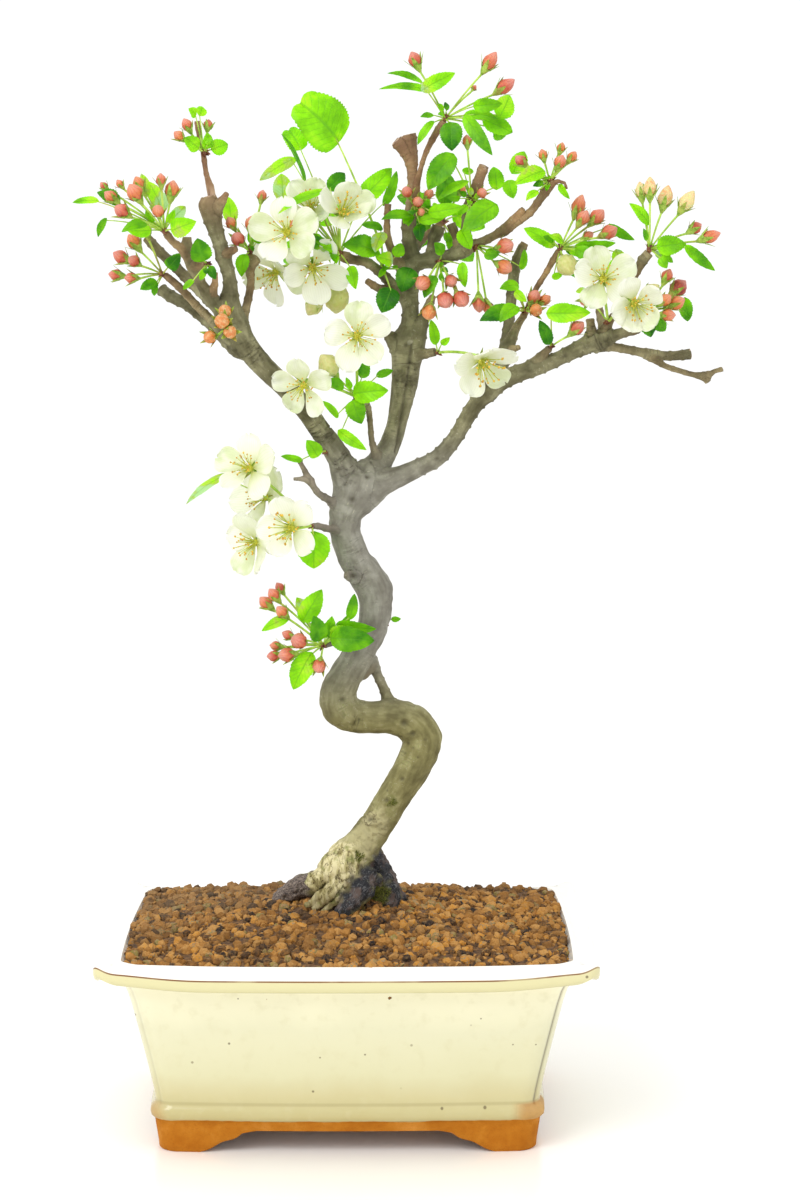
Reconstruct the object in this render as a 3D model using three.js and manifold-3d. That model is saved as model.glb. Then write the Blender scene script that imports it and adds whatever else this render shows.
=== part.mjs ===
// A crabapple bonsai: an S-bent trunk with three limbs, in a cream glazed clay pot.
// Millimetres, +Z up. The origin is under the middle of the whole plant.
import * as THREE from 'three';
import { mergeVertices } from 'three/addons/utils/BufferGeometryUtils.js';
import Module from 'manifold-3d';

const wasm = await Module();
wasm.setup();

// Driving sizes
const gap = 0.35; // left between any two pieces
const pot = {
  length: 250, depth: 194, height: 100, rimWidth: 12, rimRound: 1.3, lip: 5, bow: 4, cornerLift: 2.2,
  footLength: 191, footHeight: 12, footWall: 9, archHeight: 11.3, frontArch: 60, sideArch: 43,
  floor: 18, cornerRadius: 11, slopeShare: 0.76, drainDiameter: 16, drainSpacing: 100,
};
const soilSize = { edgeBelowRim: 2.4, mound: 8, backRise: 3, grain: 2.3, cell: 16, jog: 4.8 };
const screenSize = { side: 26, thickness: 0.9, hole: 8, pitch: 11, holesAcross: 2 };
const limbSize = { step: 20, roughness: 0.08, slimBelow: 3.9, thickAbove: 9.5 };
const stemSize = {
  leafStalk: 0.85, stalkEnd: 0.3, budStalk: 0.8, bloomStalk: 0.95, knob: 2.7, seat: 0.8, longAbove: 18,
  leafSag: 0.06, bloomSag: 0.05, intoBlade: 0.15, budRise: 0.15,
};
const bladeSize = { thickness: 0.75, fold: 0.32, arch: 0.07, tooth: 0.16 };
const bloomSize = {
  petals: 5, petal: 19.5, width: 15.5, hub: 2.7, cup: 4, roll: 0.22, cupLength: 4.5,
  stamens: 5, stamenLength: 8.5, button: 1.8, buttonHeight: 1.2, anther: 1.1, lift: 0.85,
};

// The places below are read in a front view 800 wide and 1200 tall, as across, down and depth.
// Depth is in millimetres behind the middle of the pot, and place() gives the point in space.
const view = {
  middleAcross: 400, middleDown: 600, focal: 2800,
  distance: 1440, height: 437, aside: 18, pitch: 6.6, yaw: 0.35,
};
const pitch = THREE.MathUtils.degToRad(view.pitch);
const yaw = THREE.MathUtils.degToRad(view.yaw);
const eye = new THREE.Vector3(view.aside, -view.distance, view.height);
const ahead = new THREE.Vector3(Math.sin(yaw), Math.cos(yaw), -Math.tan(pitch)).normalize();
const right = new THREE.Vector3(Math.cos(yaw), -Math.sin(yaw), 0);
const upward = new THREE.Vector3().crossVectors(right, ahead);

function place([across, down, depth]) {
  const ray = ahead.clone()
    .addScaledVector(right, (across - view.middleAcross) / view.focal)
    .addScaledVector(upward, (view.middleDown - down) / view.focal);
  return eye.clone().addScaledVector(ray, (depth - eye.y) / ray.y);
}

// A repeatable random draw from 0 to 1
function dice(seed) {
  let state = seed;
  return () => {
    state = (state + 0x6d2b79f5) | 0;
    let mixed = Math.imul(state ^ (state >>> 15), 1 | state);
    mixed = (mixed + Math.imul(mixed ^ (mixed >>> 7), 61 | mixed)) ^ mixed;
    return ((mixed ^ (mixed >>> 14)) >>> 0) / 4294967296;
  };
}

// The trunk and limbs: each row is across, down, depth and radius in millimetres
const limbs = [
  // trunk, from the roots to the fork
  [[342, 935, 8, 14], [344, 906, 8, 14], [349, 880, 8, 13.6], [355, 861, 8, 12], [363, 843, 8, 9.8],
    [376, 826, 8, 8.7], [390, 803, 9, 8.8], [405, 779, 10, 9.2], [417, 758, 11, 9.6],
    [422, 739, 12, 10.4], [411, 723, 12, 10.2], [392, 717, 11, 9], [372, 717, 9, 8.5], [354, 716, 8, 8.8],
    [341, 708, 7, 10], [338, 694, 6, 9.5], [344, 678, 6, 8.6], [354, 661, 7, 8], [364, 644, 8, 7.9],
    [373, 625, 9, 8], [376, 606, 11, 8.5], [375, 591, 13, 9.4], [366, 575, 14, 9], [355, 560, 13, 8.5],
    [349, 545, 11, 8], [345, 530, 9, 7.7], [346, 514, 8, 8.7], [352, 499, 8, 10.3], [358, 484, 9, 11.2],
    [361, 476, 9, 8.5]],
  // the swollen base and the roots spreading into the soil
  [[352, 846, 6, 11.5], [345, 862, 3, 14], [338, 880, 0, 13], [334, 900, -3, 12.5], [330, 935, -6, 12]],
  [[364, 852, 12, 8], [371, 868, 14, 10], [376, 882, 16, 12], [380, 900, 17, 12.5], [382, 935, 18, 12]],
  [[326, 878, 6, 8], [310, 883, 2, 5.6], [303, 896, -2, 5], [298, 930, -6, 4]],
  [[340, 876, 18, 9], [308, 880, 28, 6.5], [288, 890, 32, 5], [268, 925, 35, 4]],
  [[384, 878, 22, 8], [402, 886, 28, 5.5], [420, 915, 32, 3.5]],
  [[346, 896, -6, 9], [350, 912, -20, 6.5], [352, 940, -28, 4.5]],
  // snags on the trunk and the small branch that rejoins it
  [[366, 580, 11, 4], [354, 577, 5, 3.4], [344, 575, 3, 1.6]],
  [[371, 660, 12, 3.4], [378, 676, 15, 2.7], [384, 689, 16, 2.8], [391, 706, 14, 3.6], [398, 718, 13, 3.2]],
  [[342, 512, 8, 3.6], [329, 500, 0, 2.2], [318, 493, -6, 1.9], [311, 482, -9, 1.5], [305, 471, -12, 1.4],
    [300, 462, -15, 1.3]],
  [[345, 530, 7, 3.2], [329, 529, -1, 2], [318, 526, -8, 1.8], [313, 526, -11, 1.7]],
  [[368, 636, 5, 3.4], [350, 638, -6, 2.3], [334, 642, -13, 2], [325, 645, -17, 1.8]],
  // left limb, its upright stem and thin tip
  [[357, 494, 9, 9], [346, 475, 7, 7.6], [340, 459, 4, 6.4], [331, 445, 1, 5.9], [320, 430, -3, 5.6],
    [309, 414, -6, 5.6], [290, 392, -10, 5.5], [270, 373, -13, 5.5], [255, 357, -16, 5.9],
    [243, 341, -18, 6.3], [236, 325, -20, 6.2], [232, 312, -21, 5.6], [230, 299, -21, 4.9],
    [230, 281, -20, 4], [225, 261, -19, 4.5], [219, 241, -18, 4.5], [213, 222, -17, 4.7],
    [208, 206, -16, 5.1], [207, 197, -16, 3.2]],
  [[211, 202, -16, 3.2], [210, 187, -16, 2.5], [206, 173, -15, 1.7], [204, 158, -15, 1.8],
    [202, 147, -15, 1.7], [200, 138, -14, 1.7], [198, 128, -13, 2.1], [197, 121, -13, 1.8]],
  [[228, 320, -21, 5], [214, 303, -24, 4.2], [204, 289, -27, 3.8], [196, 273, -30, 3.5],
    [190, 257, -32, 3.3], [187, 244, -33, 3.2], [187, 237, -33, 2.6]],
  [[190, 258, -32, 2.9], [180, 248, -35, 2.5], [172, 241, -38, 2.5], [166, 233, -40, 2.3]],
  [[210, 300, -21, 3.4], [192, 283, -13, 2.9], [175, 266, -7, 2.7], [158, 250, -2, 2.8],
    [147, 238, 1, 2.7]],
  [[229, 338, -19, 4], [210, 319, -14, 3], [197, 306, -11, 2.7], [184, 292, -9, 2.6], [172, 281, -8, 2.2],
    [165, 275, -7, 1.8]],
  [[238, 350, -15, 4.6], [228, 342, -8, 4.2], [214, 327, 0, 4], [200, 315, 6, 3.8], [186, 304, 11, 3.8],
    [172, 297, 16, 3.9], [162, 290, 20, 3.7]],
  [[240, 336, -18, 3.4], [245, 312, -12, 2.4], [249, 295, -8, 2.2], [251, 280, -5, 2.1],
    [249, 266, -3, 2.3], [250, 255, -2, 2.3]],
  [[193, 266, -31, 2.6], [200, 265, -35, 2.1], [206, 264, -38, 1.8]],
  [[214, 217, -17, 2.8], [221, 203, -20, 2.6], [227, 193, -22, 1.4]],
  [[222, 257, -19, 2.6], [231, 251, -23, 2.1], [236, 249, -25, 1.8]],
  // centre limb, up to its sawn top
  [[364, 490, 10, 9], [376, 467, 13, 6.9], [388, 449, 16, 5.8], [395, 430, 19, 5.3], [400, 408, 22, 5.7],
    [404, 386, 25, 6.8], [405, 363, 27, 6.6], [407, 343, 28, 7.6], [410, 324, 28, 5.2], [411, 300, 27, 4],
    [411, 280, 26, 4], [410, 260, 26, 4], [409, 240, 25, 3.8], [409, 222, 24, 4.2], [412, 205, 23, 3.4],
    [413, 188, 22, 2.9], [412, 170, 22, 2.9], [411, 154, 22, 3.3], [409, 143, 22, 4.5], [407, 135, 22, 5]],
  [[410, 158, 22, 3], [402, 146, 21, 4], [396, 141, 20, 3.4]],
  [[407, 374, 27, 5.4], [416, 346, 25, 4.8], [422, 324, 23, 3.6], [429, 305, 20, 2.6], [433, 296, 18, 1.8]],
  [[380, 464, 11, 3], [372, 442, 6, 1.7], [370, 421, 3, 1.6], [367, 405, 1, 1.9], [360, 398, 0, 1.8]],
  [[410, 357, 24, 3.6], [424, 354, 19, 2.7], [435, 352, 16, 2.4]],
  [[414, 202, 22, 2], [417, 185, 19, 1.5], [421, 168, 17, 1.3], [425, 155, 16, 1.4], [431, 142, 14, 1.8],
    [438, 130, 13, 2.1], [444, 121, 12, 1.9]],
  [[408, 302, 26, 3.6], [393, 285, 21, 2.9], [380, 272, 16, 2.8], [366, 262, 11, 2.7], [350, 259, 7, 2.4],
    [342, 255, 5, 2]],
  [[406, 278, 25, 3], [395, 257, 21, 2.4], [388, 240, 19, 2.2], [387, 222, 17, 1.7], [388, 204, 16, 2]],
  // twigs toward the back, hidden from the front by leaves and blooms
  [[346, 258, 6, 2.2], [330, 247, 20, 1.9], [316, 238, 38, 1.7]],
  [[411, 252, 26, 3], [424, 238, 36, 2.2], [441, 224, 42, 1.8]],
  [[606, 339, -11, 3], [600, 314, 6, 2.2], [598, 292, 24, 1.8]],
  // branch to the right of the centre limb
  [[406, 267, 26, 4.3], [420, 262, 24, 4.1], [436, 259, 21, 4.2], [452, 255, 18, 3.8], [470, 247, 15, 3],
    [488, 239, 12, 2.7], [504, 230, 9, 2.5], [519, 221, 6, 2.3], [530, 213, 4, 2.3], [538, 202, 2, 2.5],
    [545, 192, 0, 2.9], [549, 185, -1, 2.5]],
  [[434, 260, 23, 3.4], [432, 244, 25, 2.8], [437, 232, 26, 4], [439, 226, 26, 3.6]],
  [[466, 250, 16, 3], [466, 226, 14, 2.7], [470, 203, 12, 3.1], [477, 185, 9, 3], [484, 166, 6, 2.8]],
  // right limb and its branches
  [[364, 495, 9, 8], [384, 482, 7, 6.4], [403, 475, 5, 5.4], [420, 467, 3, 4.8], [436, 459, 1, 4.7],
    [448, 447, 0, 4.4], [457, 435, -1, 4.2], [465, 421, -2, 4.3], [474, 407, -3, 4.5],
    [484, 395, -4, 4.8], [497, 384, -5, 4.9], [514, 375, -6, 4.9], [538, 367, -8, 4.4], [560, 358, -9, 4],
    [580, 348, -10, 4.5], [598, 340, -11, 4], [616, 335, -14, 3.1], [636, 328, -17, 2.4]],
  [[590, 344, -10, 3.4], [591, 331, -11, 2.5], [590, 319, -12, 2.2]],
  [[590, 346, -10, 3.4], [612, 347, -8, 2.4], [630, 350, -6, 2.4], [650, 354, -4, 2.6],
    [668, 356, -3, 2.6], [682, 355, -2, 2.8], [690, 354, -1, 3.1]],
  [[650, 356, -4, 2.4], [663, 365, -8, 1.8], [680, 371, -11, 1.7], [695, 375, -14, 1.7],
    [706, 376, -16, 1.9], [715, 371, -18, 1.5], [723, 369, -19, 1.3]],
  [[489, 392, -4, 4.4], [500, 370, 0, 3.6], [506, 353, 3, 3.3], [512, 338, 5, 2.9], [517, 326, 7, 2.3],
    [526, 312, 9, 1.7], [531, 300, 10, 1.5], [537, 287, 10, 1.6], [546, 273, 9, 1.6], [552, 262, 8, 1.8],
    [559, 251, 7, 1.9]],
  [[504, 358, 4, 3.6], [508, 328, 13, 3], [511, 302, 18, 3], [513, 281, 21, 3.2], [516, 263, 23, 3],
    [521, 250, 24, 2.7], [525, 243, 24, 2.2]],
  [[598, 341, -11, 2.9], [613, 316, -14, 1.9], [627, 292, -17, 1.8], [636, 273, -19, 2.2],
    [643, 260, -20, 2.9], [649, 253, -21, 2.7]],
  [[534, 364, -8, 2.8], [543, 354, -12, 2.2], [550, 348, -15, 1.8]],
  [[634, 330, -17, 2.1], [642, 319, -19, 1.7], [646, 313, -20, 1.6]],
];

// The sprays. base is where the spur ends. A leaf is the start of its blade, its tip, the two depths,
// its width in millimetres and its roll in degrees. A bud is across, down, depth and radius.
// A bloom is its middle and the way it faces (x, y, z), then its turn in degrees and its share of full size.
const sprays = [
  { name: 'spray_left_tip', base: [206, 154, -20],
    leaves: [[199, 149, 185, 138, -22, -26, 8.5, 10], [211, 150, 228, 143, -18, -16, 9, 15]],
    buds: [],
    blooms: [] },
  { name: 'spray_left_outer', base: [163, 229, -42],
    leaves: [[99, 201, 72, 203, -52, -50, 5, 20], [119, 206, 98, 190, -44, -40, 8.5, 20],
      [163, 213, 150, 180, -30, -22, 10, 20], [171, 231, 195, 221, -50, -56, 10.5, 15]],
    buds: [[111, 197, -46, 3], [135, 193, -52, 3.9], [139, 184, -42, 3], [172, 190, -40, 3.6]],
    blooms: [] },
  { name: 'spray_left_lower', base: [161, 274, -8],
    leaves: [[168, 268, 180, 254, -16, -22, 8, 20]],
    buds: [[121, 257, -14, 3.4], [134, 242, -6, 3.5]],
    blooms: [] },
  { name: 'spray_left_fork', base: [208, 264, -40],
    leaves: [[202, 262, 198, 239, -44, -48, 11.5, 10]],
    buds: [],
    blooms: [] },
  { name: 'spray_left_inner', base: [250, 251, -3],
    leaves: [[231, 224, 229, 196, 2, 8, 8.5, 15]],
    buds: [[238, 239, -14, 3.4], [251, 224, -10, 3.2]],
    blooms: [] },
  { name: 'spray_left_limb', base: [222, 330, -28],
    leaves: [],
    buds: [[225, 311, -36, 3.1], [222, 321, -42, 3.7], [230, 332, -40, 3.3], [210, 337, -36, 3.2]],
    blooms: [] },
  { name: 'spray_upper_middle', base: [337, 251, 3],
    leaves: [[341, 141, 304, 97, 14, 4, 26, 8], [301, 150, 289, 129, 18, 22, 12, 15],
      [296, 158, 260, 180, 22, 16, 8.5, 20], [328, 190, 345, 172, 22, 28, 9, 15],
      [357, 203, 394, 169, 18, 26, 11.5, 12], [283, 201, 281, 173, 12, 16, 11, 10]],
    buds: [[337, 298, 12, 6.4], [314, 305, 8, 4.6]],
    blooms: [[287, 233, -18, -0.15, -0.97, 0.15, 10, 1], [312, 267, -4, 0.25, -0.9, -0.3, 40, 1],
      [342, 214, -8, 0.3, -0.85, 0.45, 0, 0.95], [276, 272, 13, -0.5, -0.7, -0.45, 20, 1],
      [311, 211, 3, -0.1, -0.8, 0.56, 50, 0.95]] },
  { name: 'spray_centre_front', base: [417, 208, 16],
    leaves: [[428, 213, 463, 206, 2, -4, 8, 20]],
    buds: [],
    blooms: [] },
  { name: 'spray_centre_left', base: [389, 263, 14],
    leaves: [[378, 251, 344, 243, 6, 0, 13, 12], [383, 232, 375, 251, 4, -2, 8.5, 20],
      [393, 262, 378, 256, 8, 4, 9, 10], [411, 268, 401, 291, 12, 8, 12.5, 8],
      [392, 288, 383, 312, 8, 2, 13, 8]],
    buds: [],
    blooms: [] },
  { name: 'spray_top', base: [447, 115, 11],
    leaves: [[421, 91, 454, 71, 2, 0, 8.5, 12], [451, 122, 452, 150, 6, 2, 12.5, 8],
      [499, 118, 511, 95, 14, 16, 11.5, 10], [482, 119, 513, 133, 20, 24, 10, 12],
      [473, 106, 502, 104, 4, 0, 8, 20], [464, 115, 493, 154, 2, -8, 8, 20],
      [497, 128, 503, 140, 26, 30, 8, 15]],
    buds: [[415, 57, 6, 3.7], [489, 63, 4, 3.8], [504, 87, 2, 3.8]],
    blooms: [] },
  { name: 'spray_stub', base: [471, 200, 8],
    leaves: [[454, 154, 429, 190, 0, -4, 13.5, 10], [497, 204, 462, 229, 0, -8, 13.5, 8],
      [461, 229, 471, 249, 6, 4, 8.5, 12], [497, 190, 494, 166, 12, 16, 9.5, 10]],
    buds: [],
    blooms: [] },
  { name: 'spray_branch_tip', base: [550, 181, -2],
    leaves: [[512, 174, 525, 151, 6, 10, 9.5, 10], [545, 171, 515, 183, -6, -12, 9.5, 12],
      [508, 180, 514, 198, 0, -2, 8, 12]],
    buds: [[560, 162, -8, 3]],
    blooms: [] },
  { name: 'spray_hanging', base: [437, 268, 12],
    leaves: [],
    buds: [[423, 283, 0, 3.9], [451, 281, 2, 3.2], [445, 300, -4, 4.1], [429, 312, -2, 3.7]],
    blooms: [] },
  { name: 'spray_under_branch', base: [477, 251, 8],
    leaves: [],
    buds: [[504, 267, 2, 3.8], [505, 246, 0, 4], [479, 304, 4, 3.4]],
    blooms: [] },
  { name: 'spray_right_twig', base: [523, 309, 5],
    leaves: [[514, 311, 480, 319, 0, -8, 10.5, 10], [517, 306, 499, 320, -6, -14, 9, 12]],
    buds: [[534, 297, 0, 3.4], [536, 310, -4, 3.2]],
    blooms: [] },
  { name: 'spray_right_inner', base: [561, 247, 6],
    leaves: [[555, 246, 524, 229, 4, 0, 9, 12], [575, 249, 603, 262, -2, -8, 8, 15],
      [616, 249, 625, 273, 14, 16, 8, 20]],
    buds: [[578, 207, 4, 3.8], [583, 218, -4, 3.4], [597, 217, 0, 3.7], [567, 265, -2, 5.4]],
    blooms: [] },
  { name: 'spray_right_outer', base: [650, 248, -22],
    leaves: [[685, 245, 714, 272, -26, -28, 6, 20], [657, 247, 685, 243, -28, -36, 11, 12]],
    buds: [[641, 192, -20, 3], [650, 189, -28, 3.5], [665, 199, -18, 4.1], [695, 228, -14, 3],
      [709, 237, -22, 3.5]],
    blooms: [] },
  { name: 'spray_right_lower', base: [648, 310, -21],
    leaves: [[645, 314, 651, 337, -24, -26, 9.5, 10], [652, 317, 666, 331, -20, -18, 8, 12]],
    buds: [[678, 288, -14, 4.2], [665, 300, -26, 3], [668, 315, -26, 3.1]],
    blooms: [] },
  { name: 'spray_right_spur', base: [553, 345, -17],
    leaves: [[546, 313, 590, 315, -20, -26, 10.5, 10]],
    buds: [[577, 328, -22, 3.4]],
    blooms: [] },
  { name: 'spray_right_blooms', base: [608, 322, -15],
    leaves: [],
    buds: [[651, 292, -20, 4]],
    blooms: [[603, 279, -26, 0, -0.98, 0.18, 15, 0.95], [634, 303, -40, 0.15, -0.92, -0.3, 20, 0.9]] },
  { name: 'spray_centre_spur', base: [439, 353, 14],
    leaves: [],
    buds: [],
    blooms: [[481, 361, -18, 0.3, -0.82, -0.48, 12, 1]] },
  { name: 'spray_middle', base: [354, 397, -1],
    leaves: [[353, 394, 387, 388, -6, -12, 12.5, 10], [353, 400, 360, 424, -6, -8, 11, 8]],
    buds: [[329, 366, -8, 5.4]],
    blooms: [[357, 336, -14, 0.1, -0.97, -0.1, 5, 1], [304, 385, -22, -0.3, -0.85, -0.4, 0, 0.9]] },
  { name: 'spray_lower_left', base: [309, 526, -14],
    leaves: [[314, 531, 314, 569, -8, -8, 19, 6]],
    buds: [],
    blooms: [[250, 469, -20, -0.4, -0.8, 0.35, 0, 1], [266, 497, 6, -0.6, -0.7, 0.1, 30, 1],
      [256, 542, -16, -0.66, -0.72, -0.2, 0, 1], [292, 528, -40, -0.35, -0.92, 0.05, 20, 1]] },
  { name: 'spray_lower', base: [320, 646, -20],
    leaves: [[330, 638, 374, 640, -22, -26, 14, 8], [302, 622, 320, 589, -22, -24, 11.5, 10],
      [320, 641, 313, 617, -28, -32, 10.5, 10], [312, 652, 294, 690, -24, -26, 12.5, 8]],
    buds: [[266, 603, -18, 3.2], [274, 595, -24, 3], [287, 655, -28, 3.7], [319, 666, -28, 3.4]],
    blooms: [] },
  { name: 'spray_back', base: [443, 222, 43],
    leaves: [[434, 231, 404, 246, 54, 62, 13, 10], [452, 214, 486, 228, 52, 58, 12, 10],
      [444, 206, 448, 172, 48, 52, 12, 10]],
    buds: [[424, 205, 58, 3.4]],
    blooms: [] },
  { name: 'spray_back_left', base: [314, 237, 40],
    leaves: [[306, 244, 282, 262, 52, 60, 13, 10], [318, 224, 340, 204, 46, 50, 12, 10]],
    buds: [[296, 226, 54, 3.6], [330, 252, 54, 3.2]],
    blooms: [] },
  { name: 'spray_back_right', base: [598, 289, 26],
    leaves: [[590, 280, 566, 264, 36, 42, 12, 10], [606, 276, 632, 262, 34, 38, 12.5, 10]],
    buds: [[586, 300, 40, 3.4], [618, 296, 38, 3.6]],
    blooms: [] },
];

// Outlines of a blade: share of the length and share of the half width at each point of its edge
const largeLeaf = {
  from: 11, toothed: true, ribs: [0.5],
  outline: [[0.14, 0.62], [0.34, 1], [0.5, 0.9], [0.66, 0.9]],
};
const middleLeaf = {
  from: 0, toothed: false, ribs: [0.5],
  outline: [[0.16, 0.68], [0.44, 1], [0.78, 0.52]],
};
const petalOutline = [[0.58, 1], [0.88, 0.8], [0.97, 0]];

// A closed skin through rings of equal count, each seen counter-clockwise from the last ring
function skin(rings) {
  const count = rings[0].length;
  const last = rings.length - 1;
  const positions = rings.flat().flatMap((point) => [point.x, point.y, point.z]);
  const faces = [];
  for (let ring = 0; ring < last; ring += 1) {
    for (let side = 0; side < count; side += 1) {
      const next = (side + 1) % count;
      const a = ring * count + side;
      const b = ring * count + next;
      faces.push(a, b, b + count, a, b + count, a + count);
    }
  }
  for (let side = 1; side < count - 1; side += 1) {
    faces.push(0, side + 1, side);
    faces.push(last * count, last * count + side, last * count + side + 1);
  }
  const geometry = new THREE.BufferGeometry();
  geometry.setAttribute('position', new THREE.Float32BufferAttribute(positions, 3));
  geometry.setIndex(faces);
  return geometry;
}

function solidOf(geometry) {
  const bare = geometry.clone();
  bare.deleteAttribute('normal');
  bare.deleteAttribute('uv');
  const merged = mergeVertices(bare, 1e-4);
  return new wasm.Manifold(new wasm.Mesh({
    numProp: 3,
    vertProperties: new Float32Array(merged.attributes.position.array),
    triVerts: new Uint32Array(merged.index.array),
  }));
}

function fuse(solids) {
  return solids.reduce((whole, solid) => whole.add(solid));
}

// The largest body of a solid, without the scraps that a cut leaves and with sealed hollows filled
function mainBody(solid) {
  const mesh = solid.getMesh();
  const owner = Array.from({ length: mesh.numVert }, (_, vertex) => vertex);
  const rootOf = (vertex) => {
    let root = vertex;
    while (owner[root] !== root) root = owner[root];
    owner[vertex] = root;
    return root;
  };
  const corner = (vertex) => new THREE.Vector3().fromArray(mesh.vertProperties, vertex * mesh.numProp);
  for (let face = 0; face < mesh.triVerts.length; face += 3) {
    const [a, b, c] = mesh.triVerts.subarray(face, face + 3);
    owner[rootOf(b)] = rootOf(a);
    owner[rootOf(c)] = rootOf(a);
  }
  const volumes = new Map();
  for (let face = 0; face < mesh.triVerts.length; face += 3) {
    const [a, b, c] = mesh.triVerts.subarray(face, face + 3);
    const volume = corner(a).dot(corner(b).cross(corner(c)));
    const body = rootOf(a);
    volumes.set(body, (volumes.get(body) ?? 0) + volume);
  }
  const [largest] = [...volumes.entries()].sort((one, other) => other[1] - one[1])[0];
  const faces = [];
  for (let face = 0; face < mesh.triVerts.length; face += 3) {
    const triangle = mesh.triVerts.subarray(face, face + 3);
    if (rootOf(triangle[0]) === largest) faces.push(...triangle);
  }
  return welded(faces.map(corner));
}

// Corners closer than a hundredth of a millimetre become one, and faces that vanish by it are left out
function welded(corners) {
  const positions = corners.flatMap((point) => point.multiplyScalar(100).round().divideScalar(100).toArray());
  const loose = new THREE.BufferGeometry();
  loose.setAttribute('position', new THREE.Float32BufferAttribute(positions, 3));
  const geometry = mergeVertices(loose, 1e-4);
  const index = geometry.index.array;
  const kept = new Map();
  for (let face = 0; face < index.length; face += 3) {
    const triangle = [...index.subarray(face, face + 3)];
    const [a, b, c] = triangle;
    if (a !== b && b !== c && c !== a) {
      const key = [...triangle].sort((one, other) => one - other).join(' ');
      if (kept.has(key)) kept.delete(key);
      else kept.set(key, triangle);
    }
  }
  geometry.setIndex([...kept.values()].flat());
  return geometry;
}

// A stem through points with a radius at each, with flat ends; grow makes it thicker all round
function stem(points, radii, sides, grow = 0, jitter = () => 1) {
  const outset = grow / Math.cos(Math.PI / sides);
  const last = points.length - 1;
  const normal = new THREE.Vector3(0, -1, 0);
  const rings = points.map((point, index) => {
    const along = points[Math.min(index + 1, last)].clone().sub(points[Math.max(index - 1, 0)]).normalize();
    normal.addScaledVector(along, -normal.dot(along));
    if (normal.length() < 0.1) {
      normal.set(1, 0, 0).addScaledVector(along, -along.x);
    }
    normal.normalize();
    const side = new THREE.Vector3().crossVectors(along, normal);
    const end = index === 0 ? -grow : index === last ? grow : 0;
    return Array.from({ length: sides }, (_, corner) => {
      const angle = (corner / sides) * 2 * Math.PI;
      const radius = radii[index] * jitter() + outset;
      return point.clone()
        .addScaledVector(along, end)
        .addScaledVector(normal, radius * Math.cos(angle))
        .addScaledVector(side, radius * Math.sin(angle));
    });
  });
  return skin(rings);
}

// Points and radii along a limb, about one for each step of its length
function followLimb(rows, step) {
  const knots = rows.map(place);
  const curve = new THREE.CatmullRomCurve3(knots, false, 'centripetal');
  const points = [];
  const radii = [];
  for (let knot = 0; knot < knots.length - 1; knot += 1) {
    const pieces = Math.max(1, Math.round(knots[knot].distanceTo(knots[knot + 1]) / step));
    for (let piece = 0; piece < pieces; piece += 1) {
      const share = piece / pieces;
      points.push(curve.getPoint((knot + share) / (knots.length - 1)));
      radii.push(THREE.MathUtils.lerp(rows[knot][3], rows[knot + 1][3], share));
    }
  }
  points.push(knots.at(-1));
  radii.push(rows.at(-1)[3]);
  return { points, radii };
}

// The route of each limb; slim ones keep every second row
const routes = limbs.map((rows) => {
  const thickest = Math.max(...rows.map((row) => row[3]));
  const slim = thickest < limbSize.slimBelow;
  const kept = rows.filter((_, knot) => !slim || knot % 2 === 0 || knot === rows.length - 1);
  const sides = thickest > limbSize.thickAbove ? 7 : slim ? 4 : 5;
  return { ...followLimb(kept, limbSize.step), sides };
});

function makeTree(grow) {
  return fuse(routes.map(({ points, radii, sides }, index) => {
    const draw = dice(100 + index);
    const jitter = () => 1 + (draw() - 0.5) * limbSize.roughness;
    return solidOf(stem(points, radii, sides, grow, jitter));
  }));
}

// Where a spur grows: the nearest place on the bark, a little proud of it
function seatOf(spray) {
  const wanted = place(spray.base);
  let best = { room: Infinity };
  routes.forEach(({ points, radii }) => {
    for (let knot = 0; knot < points.length - 1; knot += 1) {
      const piece = new THREE.Line3(points[knot], points[knot + 1]);
      const share = piece.closestPointToPointParameter(wanted, true);
      const center = piece.at(share, new THREE.Vector3());
      const radius = THREE.MathUtils.lerp(radii[knot], radii[knot + 1], share);
      const room = center.distanceTo(wanted) - radius;
      const atTip = knot === points.length - 2 && share === 1;
      if (room < best.room) best = { room, center, radius, atTip };
    }
  });
  const outward = wanted.clone().sub(best.center).normalize();
  const proud = gap + stemSize.seat + (best.atTip ? 0 : best.radius);
  return best.center.clone().addScaledVector(outward, proud);
}

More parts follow.
